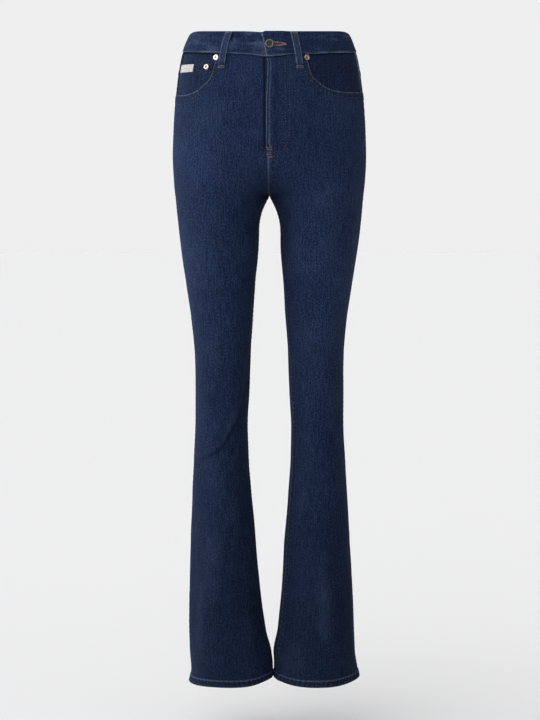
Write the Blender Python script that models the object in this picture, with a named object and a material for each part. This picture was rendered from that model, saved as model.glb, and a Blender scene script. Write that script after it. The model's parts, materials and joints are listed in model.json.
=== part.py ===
"""Bootcut jeans, closed at the fly and filled out as when worn, with no wearer inside.

Sizes are in millimetres and meshes in metres. +Z is up and the front faces -Y. The origin is the
middle of the waist, halfway down the waistband, where the wearer's waist holds the garment up.

The cloth is one shape, worked out from level sections through it. A place on it is its side (+1 is
the wearer's left), its drop below the top edge at the centre front, and its share of the way round
from the side seam (0) to the middle: 1 is the centre front or the front of the inseam, and -1 is
the centre back or the back of the inseam.
"""

import math

import bpy
import numpy as np

MM = 0.001

# Short steps along the form, for its normals, and how close to 1 a share counts as the middle.
SHARE_STEP = 1e-4
DROP_STEP = 0.05
MIDDLE_SHARE = 0.9999

# Lengths down from the top edge at the centre front.
CROTCH_DROP = 263.0
HEM_DROP = 1075.0
HOLD_DROP = 20.0

# The waist sits higher at the sides and the back.
SIDE_RISE = 8.0
BACK_RISE = 16.0
RISE_FADE = 160.0
HEM_TUCK = {-1: 4.5, 1: 0.0}
TUCK_DROPS = (1020.0, 55.0)
HEM_RISE_IN = {-1: 6.0, 1: 5.0}
HEM_RISE_OUT = {-1: -2.0, 1: 6.0}
HEM_RISE_WIDTH = 0.4
HEM_RISE_DROPS = (1000.0, 75.0)

# Cloth thicknesses and the gaps between pieces.
CLOTH = 1.2
BAND_CLOTH = 2.2
LOOP_CLOTH = 1.6
SEAM_GAP = 0.3
LAYER_GAP = 0.3
LOOSE_GAP = 0.5
UNDER_GAP = 0.9

# The leg fork: where the halves begin to part, and the web of cloth that joins them.
FORK_FRONT_DROP = 150.0
FORK_BACK_DROP = 120.0
WEB_ABOVE = 26.0
WEB_RISE = 60.0
WEB_FALL = 52.0

# Squareness of the sections: 2 is an ellipse, and more is boxier.
HIP_SQUARENESS = 2.25
LEG_SQUARENESS = 2.05
SQUARE_FROM = 150.0
SQUARE_FADE = 200.0

# One half of the garment: how far its outer and inner edges are from the middle plane, how far it
# reaches to the front and the back, and how far it leans towards the wearer's left.
SECTION_COLUMNS = ("drop", "outer", "inner", "front", "back", "sway")
SECTIONS = (
    (0, 128, 17, 92, 92, 0),
    (20, 138, 17, 95, 96, 0),
    (40, 145, 17, 98, 101, 0),
    (70, 151, 17, 102, 109, 0),
    (110, 156, 17, 105, 119, 0),
    (150, 159, 17, 107, 127, 0),
    (195, 160.5, 17, 106.5, 130, 0),
    (240, 158.5, 17, 103, 124.5, 0),
    (270, 155.5, 17, 98.5, 116.5, 0),
    (300, 152.5, 17.5, 94, 108, 0),
    (345, 147, 18.5, 87.5, 96, 0),
    (405, 138.5, 23.5, 79.5, 83, -0.7),
    (465, 129.5, 27.5, 72, 73, -0.7),
    (530, 124, 31.5, 66, 64, -0.5),
    (590, 123, 33.5, 62, 57, -0.2),
    (650, 123.7, 36.5, 59, 54, -0.2),
    (700, 126, 35.5, 56, 57, 0),
    (770, 130, 30, 54, 62, 0.5),
    (850, 134, 23, 54, 66, 1.2),
    (930, 137, 17, 57, 69, 2.5),
    (990, 138.5, 10, 61, 71, 3.5),
    (1030, 139, 1.4, 63, 72, 5),
    (1055, 141, 0.6, 65, 73, 6.5),
    (1075, 145.5, 0.6, 66, 74, 6),
)

# The waist seam and the yoke seam: how far each drops at a share of the way round.
SEAM_COLUMNS = ("share", "drop")
WAIST_SEAM = ((-1, 39), (-0.4, 35.5), (0, 33.5), (0.44, 34), (0.64, 35), (0.85, 37), (1, 41.5))
YOKE_SEAM = ((-1, 104), (-0.5, 88), (0, 70))

# The edge of each front pocket's mouth, from the side seam to the waist seam.
MOUTH = {
    -1: ((0, 99.5), (0.31, 101), (0.45, 96.5), (0.54, 85.5), (0.597, 73), (0.613, 60), (0.634, 34)),
    1: ((0, 95.5), (0.44, 96.5), (0.56, 94), (0.63, 89.5), (0.69, 80), (0.732, 70), (0.765, 34)),
}
MOUTH_LAP_SHARE = 0.055
MOUTH_LAP_DROP = 10.0

# The level rows of a front or back panel below its top edge, close together at the crotch,
# the knee crease and the hem.
PANEL_LEVELS = (
    135, 165, 188, 190, 198, 215, 235, 250, 258, 263, 264, 267, 273, 283, 300, 330, 380, 440, 500, 560,
    605, 635, 652, 666, 680, 695, 720, 770, 830, 890, 950, 1005, 1045, 1062, 1063, 1075,
)
BACK_SHARES = (0, 0.07, 0.15, 0.24, 0.33, 0.41, 0.48, 0.55, 0.62, 0.69, 0.76, 0.82, 0.88, 0.93, 0.97, 1)
HEM_DEPTH = 12.0
HEM_LIFT = 0.8
HEM_STEP = 1.0

# The inseam comes round to the front of each leg by these angles, in degrees.
TWIST_COLUMNS = ("drop", "degrees")
TWIST = {
    -1: ((0, 0), (263, 0), (690, 0), (900, 12), (1075, 12)),
    1: ((0, 0), (263, 0), (420, 22), (650, 28), (1075, 24)),
}

# The fly: the wearer's left front laps over the right one.
FLY_LAP_SHARE = 0.015
FLY_END_DROP = 188.0
FLY_FOOT_DROP = 190.0
FLY_LIFT = CLOTH + LAYER_GAP
FLY_RAMP_SHARE = (0.94, 0.985)
BAND_LAP = ((0, 1.05), (45, 1.015))
BAND_UNDERLAP_SHARE = 1.04
BAND_LIFT = 0.8
BAND_RAMP_SHARE = (0.86, 0.93)

# The main folds. Each runs from one place to another, bows sideways, and is a ridge or, where its
# height is below 0, a trough.
FOLD_COLUMNS = (
    "side", "face", "from_drop", "from_share", "to_drop", "to_share", "bow", "width", "height",
)
FOLDS = (
    (-1, 1, 628, 0.74, 694, 0.16, 12, 9, -3.6),
    (-1, 1, 600, 0.62, 672, 0.20, 12, 15, 2.6),
    (-1, 1, 520, 0.90, 640, 0.86, 0, 15, -2.6),
    (-1, 1, 705, 0.86, 1020, 0.60, 5, 13, -3.0),
    (-1, 1, 720, 0.50, 1000, 0.36, 0, 16, 1.4),
    (-1, 1, 760, 0.18, 1040, 0.16, 0, 10, -1.6),
    (1, 1, 745, 0.24, 910, 0.36, 4, 12, -2.8),
    (1, 1, 640, 0.40, 745, 0.30, 5, 14, -1.4),
    (1, 1, 590, 0.75, 690, 0.62, 6, 13, 1.3),
    (-1, -1, 590, 0.70, 668, 0.16, -10, 12, -3.0),
    (-1, -1, 636, 0.82, 722, 0.34, -8, 12, -2.4),
    (1, -1, 600, 0.78, 664, 0.20, 10, 12, -3.0),
    (1, -1, 655, 0.70, 716, 0.26, 6, 13, -2.2),
    (-1, -1, 760, 0.55, 1030, 0.50, 0, 16, -1.8),
    (1, -1, 770, 0.50, 1010, 0.56, 0, 15, -1.8),
    (-1, -1, 292, 0.93, 345, 0.30, 14, 13, -2.4),
    (1, -1, 295, 0.92, 352, 0.34, 14, 13, -2.2),
)
FOLD_SPAN = {1: 150.0, -1: 165.0}
FOLD_FADE = 0.22

# Belt loops: the side and share of the top and bottom ends.
LOOP_COLUMNS = ("name", "side", "top_share", "bottom_share")
LOOPS = (
    ("belt_loop_front_right", -1, 0.697, 0.683),
    ("belt_loop_front_left", 1, 0.835, 0.815),
    ("belt_loop_back_right", -1, -0.42, -0.42),
    ("belt_loop_back_left", 1, -0.42, -0.42),
    ("belt_loop_back_middle", 1, -1.0, -1.0),
)
LOOP_WIDTH = 11.5
LOOP_SHARE_STEP = 0.01
LOOP_PATH_COLUMNS = ("drop", "lift")
LOOP_PATH = ((0.8, 1.4), (6, 2.3), (14, 2.9), (24, 2.9), (33, 2.5), (43, 1.9), (52, 0.9), (60, 0.5))

# Back pockets: the middle of each is this far from the centre back.
POCKET_MIDDLE = 83.0
POCKET_TOP_DROP = 116.0
POCKET_TOP_WIDTH = 124.0
POCKET_FOOT_WIDTH = 112.0
POCKET_SIDE = 122.0
POCKET_POINT = 17.0
POCKET_TILT = 6.0
POCKET_GAP = 0.6

# The coin pocket, on the right facing, and the blank woven label on it.
COIN_EDGE_SHARE = 0.6
COIN_TOP_DROP = 51.0
COIN_CLOTH = 1.0
COIN_LIFT = -CLOTH - UNDER_GAP
LABEL_SHARES = (0.13, 0.195, 0.26, 0.325, 0.39)
LABEL_DROPS = (53.5, 59.5, 65.5)
LABEL_CLOTH = 0.6
FACING_CLOTH = 1.0
FACING_START = 0.004
FACING_GAP = 1.3
FACING_LIFT = {-1: COIN_LIFT - COIN_CLOTH - LAYER_GAP, 1: -CLOTH - FACING_GAP}

# Metal: each profile is turned round its axis, as (radius, height) pairs.
BUTTON_PROFILE = ((0, 2.1), (4.1, 2.3), (5.0, 3.1), (6.7, 3.0), (7.5, 2.0), (7.3, 0.7), (5.8, 0), (0, 0))
BUTTON_PLACE = (0.4, 21.0)
BUTTON_LIFT = BAND_LIFT + BAND_CLOTH + LAYER_GAP + LAYER_GAP
RIVET_PROFILE = ((0, 2.2), (1.2, 2.1), (1.7, 1.1), (3.0, 1.2), (4.2, 0.9), (4.8, 0), (0, 0))
RIVET_COLUMNS = ("name", "x", "drop", "lift")
RIVETS = (
    ("rivet_mouth_right", -86.0, 42.5, LOOSE_GAP),
    ("rivet_mouth_left", 60.3, 42.5, LOOSE_GAP),
    ("rivet_coin_pocket", -102.6, 57.0, COIN_LIFT + LOOSE_GAP),
)
TURNED_SIDES = 20

# Base colour, roughness and metallic value of each material.
MATERIALS = {
    "denim": ((0.022, 0.036, 0.075), 0.86, 0.0),
    "label_weave": ((0.62, 0.60, 0.60), 0.80, 0.0),
    "aged_metal": ((0.30, 0.27, 0.22), 0.38, 1.0),
    "bright_metal": ((0.68, 0.68, 0.68), 0.28, 1.0),
}


def ease(t):
    """Go from 0 to 1 with a soft start and end."""
    t = np.clip(t, 0.0, 1.0)
    return t * t * (3 - 2 * t)


def smooth_curve(rows, column):
    """Read one column of a table as a smooth curve over its first column, with no overshoot."""
    place = np.array([row[0] for row in rows], float)
    value = np.array([row[column] for row in rows], float)
    step = np.diff(place)
    rate = np.diff(value) / step
    slope = np.zeros(len(place))
    slope[0] = rate[0]
    slope[-1] = rate[-1]
    for i in range(1, len(place) - 1):
        if rate[i - 1] * rate[i] > 0:
            near = 2 * step[i] + step[i - 1]
            far = step[i] + 2 * step[i - 1]
            slope[i] = (near + far) / (near / rate[i - 1] + far / rate[i])

    def read(where):
        where = np.clip(where, place[0], place[-1])
        i = np.clip(np.searchsorted(place, where) - 1, 0, len(step) - 1)
        t = (where - place[i]) / step[i]
        start = (1 + 2 * t) * (1 - t) ** 2 * value[i] + t * (1 - t) ** 2 * step[i] * slope[i]
        finish = t * t * (3 - 2 * t) * value[i + 1] + t * t * (t - 1) * step[i] * slope[i + 1]
        return start + finish

    return read


def line_curve(rows):
    """Read a two-column table as straight lines from row to row."""
    place = [row[0] for row in rows]
    value = [row[1] for row in rows]
    return lambda where: np.interp(where, place, value)


SECTION = {name: smooth_curve(SECTIONS, i) for i, name in enumerate(SECTION_COLUMNS) if i}
TWIST_AT = {side: smooth_curve(rows, TWIST_COLUMNS.index("degrees")) for side, rows in TWIST.items()}
WAIST_SEAM_AT = smooth_curve(WAIST_SEAM, SEAM_COLUMNS.index("drop"))
YOKE_SEAM_AT = smooth_curve(YOKE_SEAM, SEAM_COLUMNS.index("drop"))
MOUTH_AT = {side: line_curve(rows) for side, rows in MOUTH.items()}


def bare_form(side, share, drop):
    """Return points on the smooth form, before folds, in millimetres from the origin."""
    back = share < 0
    outer = SECTION["outer"](drop) - HEM_TUCK[side] * ease((drop - TUCK_DROPS[0]) / TUCK_DROPS[1])
    inner = SECTION["inner"](drop)
    fork_start = np.where(back, FORK_BACK_DROP, FORK_FRONT_DROP)
    fork = ease((drop - fork_start) / (CROTCH_DROP - fork_start))
    above = drop < CROTCH_DROP
    low = np.where(above, (outer + inner) * fork - outer, inner)
    half = (outer - low) / 2
    middle = (outer + low) / 2

    below = drop - CROTCH_DROP
    web_up = inner + (WEB_ABOVE - inner) * ease(-below / WEB_RISE)
    web_down = inner * np.sqrt(1 - ease(below / WEB_FALL))
    web = np.where(above, web_up, web_down) * (1 - (1 - fork) ** 3)

    bend = ease((drop - SQUARE_FROM) / SQUARE_FADE)
    power = HIP_SQUARENESS + (LEG_SQUARENESS - HIP_SQUARENESS) * bend
    reach = np.clip((web - middle) / half, -1.0, 1.0)
    clipped = np.arccos(np.sign(reach) * np.abs(reach) ** (power / 2))
    twist = np.radians(TWIST_AT[side](drop))
    end = np.where(above, clipped, np.where(back, math.pi + twist, math.pi - twist))
    turn = share * end

    across = np.cos(turn)
    along = np.sin(turn)
    x = middle + half * np.sign(across) * np.abs(across) ** (2 / power)
    x = np.sqrt(np.maximum(x * x - web ** 2 * (outer - x) / (outer - web), 0.0))
    depth = (SECTION["front"](drop) + SECTION["back"](drop)) / 2
    centre = (SECTION["back"](drop) - SECTION["front"](drop)) / 2
    y = centre - depth * np.sign(along) * np.abs(along) ** (2 / power)
    rise = SIDE_RISE - along * np.where(back, BACK_RISE - SIDE_RISE, SIDE_RISE)
    inner_end = HEM_RISE_IN[side] * np.exp(-(((across + 1) / HEM_RISE_WIDTH) ** 2))
    outer_end = HEM_RISE_OUT[side] * np.exp(-(((across - 1) / HEM_RISE_WIDTH) ** 2))
    hem = (inner_end + outer_end) * ease((drop - HEM_RISE_DROPS[0]) / HEM_RISE_DROPS[1])
    z = HOLD_DROP - drop + rise * (1 - ease(drop / RISE_FADE)) + hem
    return np.stack([side * x + SECTION["sway"](drop), y, z], -1)


def outward(side, share, drop):
    """Return the form's unit normals, from two short steps along it."""
    step_share = np.where(share > 0, -SHARE_STEP, SHARE_STEP)
    step_drop = np.where(drop > HEM_DROP - 1, -DROP_STEP, DROP_STEP)
    here = bare_form(side, share, drop)
    along = (bare_form(side, share + step_share, drop) - here) / step_share[..., None]
    down = (bare_form(side, share, drop + step_drop) - here) / step_drop[..., None]
    normal = side * np.cross(along, down)
    on_middle = (np.abs(share) > MIDDLE_SHARE) & (drop < CROTCH_DROP)
    normal[..., 0] = np.where(on_middle, 0.0, normal[..., 0])
    return normal / np.linalg.norm(normal, axis=-1, keepdims=True)


def fold_height(side, share, drop):
    """Add up the folds at places on the cloth."""
    total = np.zeros(np.shape(drop))
    for row in FOLDS:
        fold = dict(zip(FOLD_COLUMNS, row))
        if fold["side"] != side:
            continue
        span = FOLD_SPAN[fold["face"]]
        start = np.array([fold["from_share"] * span, fold["from_drop"]])
        run = np.array([fold["to_share"] * span, fold["to_drop"]]) - start
        length = np.linalg.norm(run)
        run = run / length
        across_mm = share * fold["face"] * span - start[0]
        down_mm = drop - start[1]
        t = (across_mm * run[0] + down_mm * run[1]) / length
        arch = fold["bow"] * 4 * t * (1 - t)
        off = down_mm * run[0] - across_mm * run[1] + arch
        fade = ease(t / FOLD_FADE) * ease((1 - t) / FOLD_FADE)
        same_face = share * fold["face"] > 0
        total = total + np.where(same_face, fold["height"] * fade * np.exp(-(off / fold["width"]) ** 2), 0)
    return total


def cloth(side, share, drop, lift):
    """Return points on the folded cloth, moved out by lift. Past the middle is the other side."""
    share, drop, lift = np.broadcast_arrays(share, drop, lift)
    points = np.zeros(share.shape + (3,))
    past = np.abs(share) > 1
    for this_side, chosen, place in ((side, ~past, share), (-side, past, np.sign(share) * 2 - share)):
        if not chosen.any():
            continue
        s = place[chosen]
        d = drop[chosen]
        out = fold_height(this_side, s, d) + lift[chosen]
        points[chosen] = bare_form(this_side, s, d) + outward(this_side, s, d) * out[:, None]
    return points


def share_at(side, face, x, drop):
    """Find the share of the way round at which the cloth is x from the middle plane."""
    near = 0.0
    far = 1.0
    for _ in range(40):
        half_way = (near + far) / 2
        found = bare_form(side, np.array([face * half_way]), np.array([float(drop)]))[0, 0]
        if side * found > abs(x):
            near = half_way
        else:
            far = half_way
    return face * near


def material(name):
    """Return a named material, made the first time it is asked for."""
    if name in bpy.data.materials:
        return bpy.data.materials[name]
    colour, roughness, metallic = MATERIALS[name]
    made = bpy.data.materials.new(name)
    made.use_nodes = True
    shader = made.node_tree.nodes["Principled BSDF"]
    shader.inputs["Base Color"].default_value = (*colour, 1.0)
    shader.inputs["Roughness"].default_value = roughness
    shader.inputs["Metallic"].default_value = metallic
    made.diffuse_color = (*colour, 1.0)
    return made


def add_piece(name, points, faces, finish):
    """Add one named object from points in millimetres."""
    mesh = bpy.data.meshes.new(name)
    mesh.from_pydata([tuple(point * MM) for point in points], [], faces)
    mesh.materials.append(material(finish))
    mesh.shade_smooth()
    mesh.set_sharp_from_angle(angle=math.radians(35))
    piece = bpy.data.objects.new(name, mesh)
    bpy.context.collection.objects.link(piece)
    return piece


def draw_in(grid):
    """Pull the four edges of a grid of points in by half a seam gap."""
    pulled = grid.copy()
    for edge, neighbour in ((0, 1), (-1, -2)):
        run = grid[neighbour] - grid[edge]
        pulled[edge] += run / np.linalg.norm(run, axis=-1, keepdims=True) * SEAM_GAP / 2
    for edge, neighbour in ((0, 1), (-1, -2)):
        run = grid[:, neighbour] - grid[:, edge]
        pulled[:, edge] += run / np.linalg.norm(run, axis=-1, keepdims=True) * SEAM_GAP / 2
    return pulled


def keep_to_side(grid, side, sway):
    """Keep points half a seam gap clear of the plane between the halves."""
    clear = np.maximum(side * (grid[..., 0] - sway), SEAM_GAP / 2)
    grid[..., 0] = side * clear + sway
    return grid


def wall(name, side, share, drop, lift, thickness, finish, own_side=False):
    """Make a closed wall of cloth from a grid of places, its outer face at lift."""
    share, drop, lift = np.broadcast_arrays(share, drop, lift)
    faces_grid = []
    for level in (lift, lift - thickness):
        grid = draw_in(cloth(side, share, drop, level))
        if own_side:
            grid = keep_to_side(grid, side, SECTION["sway"](drop))
        faces_grid.append(grid)
    rows, columns = share.shape
    count = rows * columns
    points = np.concatenate([grid.reshape(-1, 3) for grid in faces_grid])
    index = np.arange(count).reshape(rows, columns)
    faces = []
    for r in range(rows - 1):
        for c in range(columns - 1):
            near, far = index[r, c], index[r + 1, c + 1]
            for corner in (index[r, c + 1], index[r + 1, c]):
                outer_face = (near, far, corner) if corner == index[r, c + 1] else (near, corner, far)
                faces.append(outer_face)
                faces.append(tuple(i + count for i in outer_face[::-1]))
    rim = list(index[0]) + list(index[1:, -1]) + list(index[-1, -2::-1]) + list(index[-2:0:-1, 0])
    for a, b in zip(rim, rim[1:] + rim[:1]):
        faces.append((a, b, b + count, a + count))
    if side * (share[0, -1] - share[0, 0]) > 0:
        faces = [face[::-1] for face in faces]
    faces = [tuple(int(i) for i in face) for face in faces]
    return add_piece(name, points, faces, finish)


def panel_rows(top):
    """Return the drops of a panel's rows, from its top edge down to the hem."""
    upper = top + (PANEL_LEVELS[0] - top) * 0.5
    rows = [top, upper]
    rows += [np.full(top.shape, float(level)) for level in PANEL_LEVELS]
    return np.stack(rows)


def hem_lift(drop):
    """Return how far the turned-up hem stands out."""
    return HEM_LIFT * np.clip((drop - HEM_DROP + HEM_DEPTH + HEM_STEP) / HEM_STEP, 0, 1)


def front_shares(side):
    """Return a front panel's columns, with some on each bend of its pocket mouth."""
    bends = [row[0] for row in MOUTH[side]]
    side_part = [0, bends[1] * 0.35, bends[1] * 0.7] + bends[1:]
    middle_part = bends[-1] + (1 - bends[-1]) * np.array([0.14, 0.32, 0.5, 0.68, 0.84, 0.94, 1.0])
    return np.array(side_part + list(middle_part))


def add_front(name, side):
    """Add a front panel, cut away at the pocket mouth. The left one laps over at the fly."""
    columns = front_shares(side)
    top = np.maximum(WAIST_SEAM_AT(columns), MOUTH_AT[side](columns))
    drop = panel_rows(np.where(columns >= MOUTH[side][-1][0], WAIST_SEAM_AT(columns), top))
    share = np.broadcast_to(columns, drop.shape)
    lift = hem_lift(drop)
    if side > 0:
        lapped = np.where(drop <= FLY_END_DROP, 1 + FLY_LAP_SHARE, 1.0)
        share = np.where(columns == 1, lapped, share)
        ramp = ease((share - FLY_RAMP_SHARE[0]) / (FLY_RAMP_SHARE[1] - FLY_RAMP_SHARE[0]))
        lift = lift + FLY_LIFT * ramp * (drop <= FLY_FOOT_DROP)
    wall(name, side, share, drop, lift, CLOTH, "denim", own_side=side < 0)


def back_places():
    """Return the shares and drops of a back panel's points."""
    columns = -np.array(BACK_SHARES)
    drop = panel_rows(YOKE_SEAM_AT(columns))
    return np.broadcast_to(columns, drop.shape), drop


def add_back(name, side):
    """Add a back panel, from the yoke seam to the hem."""
    share, drop = back_places()
    wall(name, side, share, drop, hem_lift(drop), CLOTH, "denim", own_side=True)


def add_yoke(name, side):
    """Add a back yoke, between the waistband and the back panel."""
    columns = -np.linspace(0, 1, 13)
    part = np.linspace(0, 1, 4)[:, None]
    top = WAIST_SEAM_AT(columns)
    drop = top + (YOKE_SEAM_AT(columns) - top) * part
    wall(name, side, columns, drop, 0.0, CLOTH, "denim", own_side=True)


def add_waistband(name, side):
    """Add half the waistband, from the centre back to past the centre front."""
    foot_end = BAND_LAP[-1][1] if side > 0 else BAND_UNDERLAP_SHARE
    columns = np.concatenate([np.linspace(-1, 0.8, 19), [0.84, 0.88, 0.91, 0.94, 0.97, 1.0, foot_end]])
    part = np.array([0, 0.12, 0.5, 0.88, 1.0])[:, None]
    drop = WAIST_SEAM_AT(np.minimum(columns, 2 - columns)) * part
    end = np.interp(drop, *zip(*BAND_LAP)) if side > 0 else np.full(drop.shape, foot_end)
    share = np.where(columns > 1, end, columns)
    lift = np.full(drop.shape, BAND_LIFT)
    if side > 0:
        ramp = ease((share - BAND_RAMP_SHARE[0]) / (BAND_RAMP_SHARE[1] - BAND_RAMP_SHARE[0]))
        lift = lift + (BAND_CLOTH + LAYER_GAP) * ramp
    wall(name, side, share, drop, lift, BAND_CLOTH, "denim")


def mouth_lap(side, share):
    """Return how far down the pocket facing reaches, behind the mouth's edge."""
    return MOUTH_AT[side](share - MOUTH_LAP_SHARE) + MOUTH_LAP_DROP


def facing_shares(side):
    """Return a pocket facing's columns, closer together near the mouth's steep end."""
    bend = MOUTH[side][2][0]
    last = MOUTH[side][-1][0] + MOUTH_LAP_SHARE - FACING_START
    return np.concatenate([np.linspace(FACING_START, bend, 7), np.linspace(bend, last, 8)[1:]])


def add_facing(name, side):
    """Add the pocket facing that shows inside a front pocket's mouth."""
    columns = facing_shares(side)
    part = np.linspace(0, 1, 6)[:, None]
    top = WAIST_SEAM_AT(columns)
    drop = top + (mouth_lap(side, columns) - top) * part
    wall(name, side, columns, drop, FACING_LIFT[side], FACING_CLOTH, "denim")


def add_coin_pocket():
    """Add the coin pocket on the right facing, running down behind the mouth's edge."""
    columns = facing_shares(-1)
    columns = columns[columns < COIN_EDGE_SHARE]
    part = np.linspace(0, 1, 5)[:, None]
    foot = MOUTH_AT[-1](columns) + MOUTH_LAP_DROP * 0.5
    drop = COIN_TOP_DROP + (foot - COIN_TOP_DROP) * part
    wall("coin_pocket", -1, columns, drop, COIN_LIFT, COIN_CLOTH, "denim")


def add_label():
    """Add the blank woven label across the top of the coin pocket."""
    share, drop = np.meshgrid(LABEL_SHARES, LABEL_DROPS)
    wall("blank_label", -1, share, drop, COIN_LIFT + LAYER_GAP + LABEL_CLOTH, LABEL_CLOTH, "label_weave")


def add_back_pocket(name, side):
    """Add a patch pocket with a pointed foot, on the back panel."""
    part = np.linspace(0, 1, 12)
    across = np.linspace(-1, 1, 13)
    share = np.zeros((len(part), len(across)))
    drop = np.zeros(share.shape)
    for r, down in enumerate(part):
        half_width = (POCKET_TOP_WIDTH + (POCKET_FOOT_WIDTH - POCKET_TOP_WIDTH) * down) / 2
        for c, place in enumerate(across):
            foot = POCKET_SIDE + POCKET_POINT * (1 - abs(place))
            drop[r, c] = POCKET_TOP_DROP + POCKET_TILT * place / 2 + foot * down
            share[r, c] = share_at(side, -1, POCKET_MIDDLE - place * half_width, drop[r, c])
    wall(name, side, share, drop, CLOTH + POCKET_GAP, CLOTH, "denim")


def add_belt_loop(name, side, top_share, bottom_share):
    """Add a belt loop that stands clear of the band between its two sewn ends."""
    path = np.array(LOOP_PATH, float)
    drop = path[:, [LOOP_PATH_COLUMNS.index("drop")]]
    lift = path[:, [LOOP_PATH_COLUMNS.index("lift")]]
    middle = top_share + (bottom_share - top_share) * drop / drop[-1]
    beside = middle - np.sign(middle) * LOOP_SHARE_STEP
    moved = np.linalg.norm(bare_form(side, middle, drop) - bare_form(side, beside, drop), axis=-1)
    share = middle + np.array([-0.5, 0.0, 0.5]) * LOOP_WIDTH * LOOP_SHARE_STEP / moved
    wall(name, side, share, drop, lift + LOOP_CLOTH, LOOP_CLOTH, "denim")


def add_fly_guard():
    """Add the strip behind the fly, across the centre front."""
    share = np.array([0.89, 0.93, 0.97, 1.0, 1.03, 1.07])
    drop = np.linspace(44, FLY_END_DROP - 4, 7)[:, None]
    wall("fly_guard", 1, share, drop, -CLOTH - UNDER_GAP, CLOTH, "denim")


def add_turned(name, profile, x, drop, lift, finish):
    """Turn a profile round the cloth's normal at a place near the front, and seat it there."""
    side = 1 if x > 0 else -1
    share = np.array([share_at(side, 1, x, drop)])
    level = np.array([float(drop)])
    axis = outward(side, share, level)[0]
    seat = cloth(side, share, level, np.array([lift]))[0]
    sideways = np.cross(axis, (0, 0, 1))
    sideways /= np.linalg.norm(sideways)
    upward = np.cross(sideways, axis)
    points = [seat + axis * profile[0][1]]
    for radius, height in profile[1:-1]:
        for i in range(TURNED_SIDES):
            angle = math.tau * i / TURNED_SIDES
            spoke = sideways * math.cos(angle) + upward * math.sin(angle)
            points.append(seat + axis * height + spoke * radius)
    points.append(seat + axis * profile[-1][1])
    last = len(points) - 1
    faces = []
    for i in range(TURNED_SIDES):
        j = (i + 1) % TURNED_SIDES
        faces.append((0, 1 + j, 1 + i))
        for ring in range(len(profile) - 3):
            a = 1 + ring * TURNED_SIDES
            b = a + TURNED_SIDES
            faces.append((a + i, a + j, b + j, b + i))
        foot = 1 + (len(profile) - 3) * TURNED_SIDES
        faces.append((foot + i, foot + j, last))
    add_piece(name, points, faces, finish)


def main():
    """Build the jeans, a piece at a time, as they are cut and sewn."""
    for thing in list(bpy.data.objects):
        bpy.data.objects.remove(thing, do_unlink=True)
    for word, side in (("right", -1), ("left", 1)):
        add_front(f"front_{word}", side)
        add_back(f"back_{word}", side)
        add_yoke(f"yoke_{word}", side)
        add_waistband(f"waistband_{word}", side)
        add_facing(f"pocket_facing_{word}", side)
        add_back_pocket(f"back_pocket_{word}", side)
    add_coin_pocket()
    add_label()
    add_fly_guard()
    for row in LOOPS:
        add_belt_loop(**dict(zip(LOOP_COLUMNS, row)))
    add_turned("waist_button", BUTTON_PROFILE, *BUTTON_PLACE, BUTTON_LIFT, "aged_metal")
    for row in RIVETS:
        add_turned(profile=RIVET_PROFILE, finish="bright_metal", **dict(zip(RIVET_COLUMNS, row)))


main()
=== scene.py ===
# %% [markdown]
# # Bootcut jeans
# The jeans are closed at the fly and stand filled out, as on a wearer who isn't there. Each sewn
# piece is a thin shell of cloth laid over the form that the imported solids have, and gets the small
# things a solid leaves out: seams, puckers, thread, worn edges and the weave. All sizes are in
# millimetres until a mesh is made, because that is how a pattern is cut.

import json
import math

import bmesh
import bpy
import numpy as np
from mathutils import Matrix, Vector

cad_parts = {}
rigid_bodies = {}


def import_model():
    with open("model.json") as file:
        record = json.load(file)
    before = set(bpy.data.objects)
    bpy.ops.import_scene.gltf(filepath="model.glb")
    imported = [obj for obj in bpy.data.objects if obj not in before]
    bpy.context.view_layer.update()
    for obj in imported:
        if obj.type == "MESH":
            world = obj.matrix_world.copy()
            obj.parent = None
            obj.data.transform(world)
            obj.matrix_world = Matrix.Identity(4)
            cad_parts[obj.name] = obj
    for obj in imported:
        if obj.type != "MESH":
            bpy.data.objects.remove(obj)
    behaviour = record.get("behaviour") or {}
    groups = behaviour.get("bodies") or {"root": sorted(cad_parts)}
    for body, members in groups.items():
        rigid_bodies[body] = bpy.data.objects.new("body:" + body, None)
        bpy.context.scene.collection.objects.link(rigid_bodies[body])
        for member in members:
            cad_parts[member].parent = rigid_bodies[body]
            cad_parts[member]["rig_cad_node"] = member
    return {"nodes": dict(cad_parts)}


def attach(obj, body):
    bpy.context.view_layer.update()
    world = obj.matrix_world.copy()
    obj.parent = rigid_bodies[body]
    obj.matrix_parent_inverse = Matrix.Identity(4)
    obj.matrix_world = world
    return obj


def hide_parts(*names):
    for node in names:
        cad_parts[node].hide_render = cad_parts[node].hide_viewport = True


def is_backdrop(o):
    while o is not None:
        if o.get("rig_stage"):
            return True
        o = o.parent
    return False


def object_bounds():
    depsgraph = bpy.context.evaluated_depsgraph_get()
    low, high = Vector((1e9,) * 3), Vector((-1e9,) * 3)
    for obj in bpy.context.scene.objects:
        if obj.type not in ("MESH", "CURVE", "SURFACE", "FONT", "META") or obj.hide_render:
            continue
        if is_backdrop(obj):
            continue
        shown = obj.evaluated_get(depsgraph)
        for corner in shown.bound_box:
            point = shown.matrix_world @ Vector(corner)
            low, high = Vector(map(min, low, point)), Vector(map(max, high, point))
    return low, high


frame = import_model()
cad_box = [list(corner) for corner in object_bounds()]
MM = 0.001
print("nodes to dress:", len(frame["nodes"]))

# %% [markdown]
# ## The camera
# The photograph is taken square on from the front, from a little above the knees' height, with a
# long lens. A long lens a few metres away keeps the waist and the hems at the same scale, so it is
# placed first, and everything after it is judged through it.

# %% Camera
CAMERA_PLACE = (0.0008, -3.400, -0.290)
CAMERA_AIM = (0.0008, 0.0, -0.5156)
CAMERA_LENS = 102.1

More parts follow.
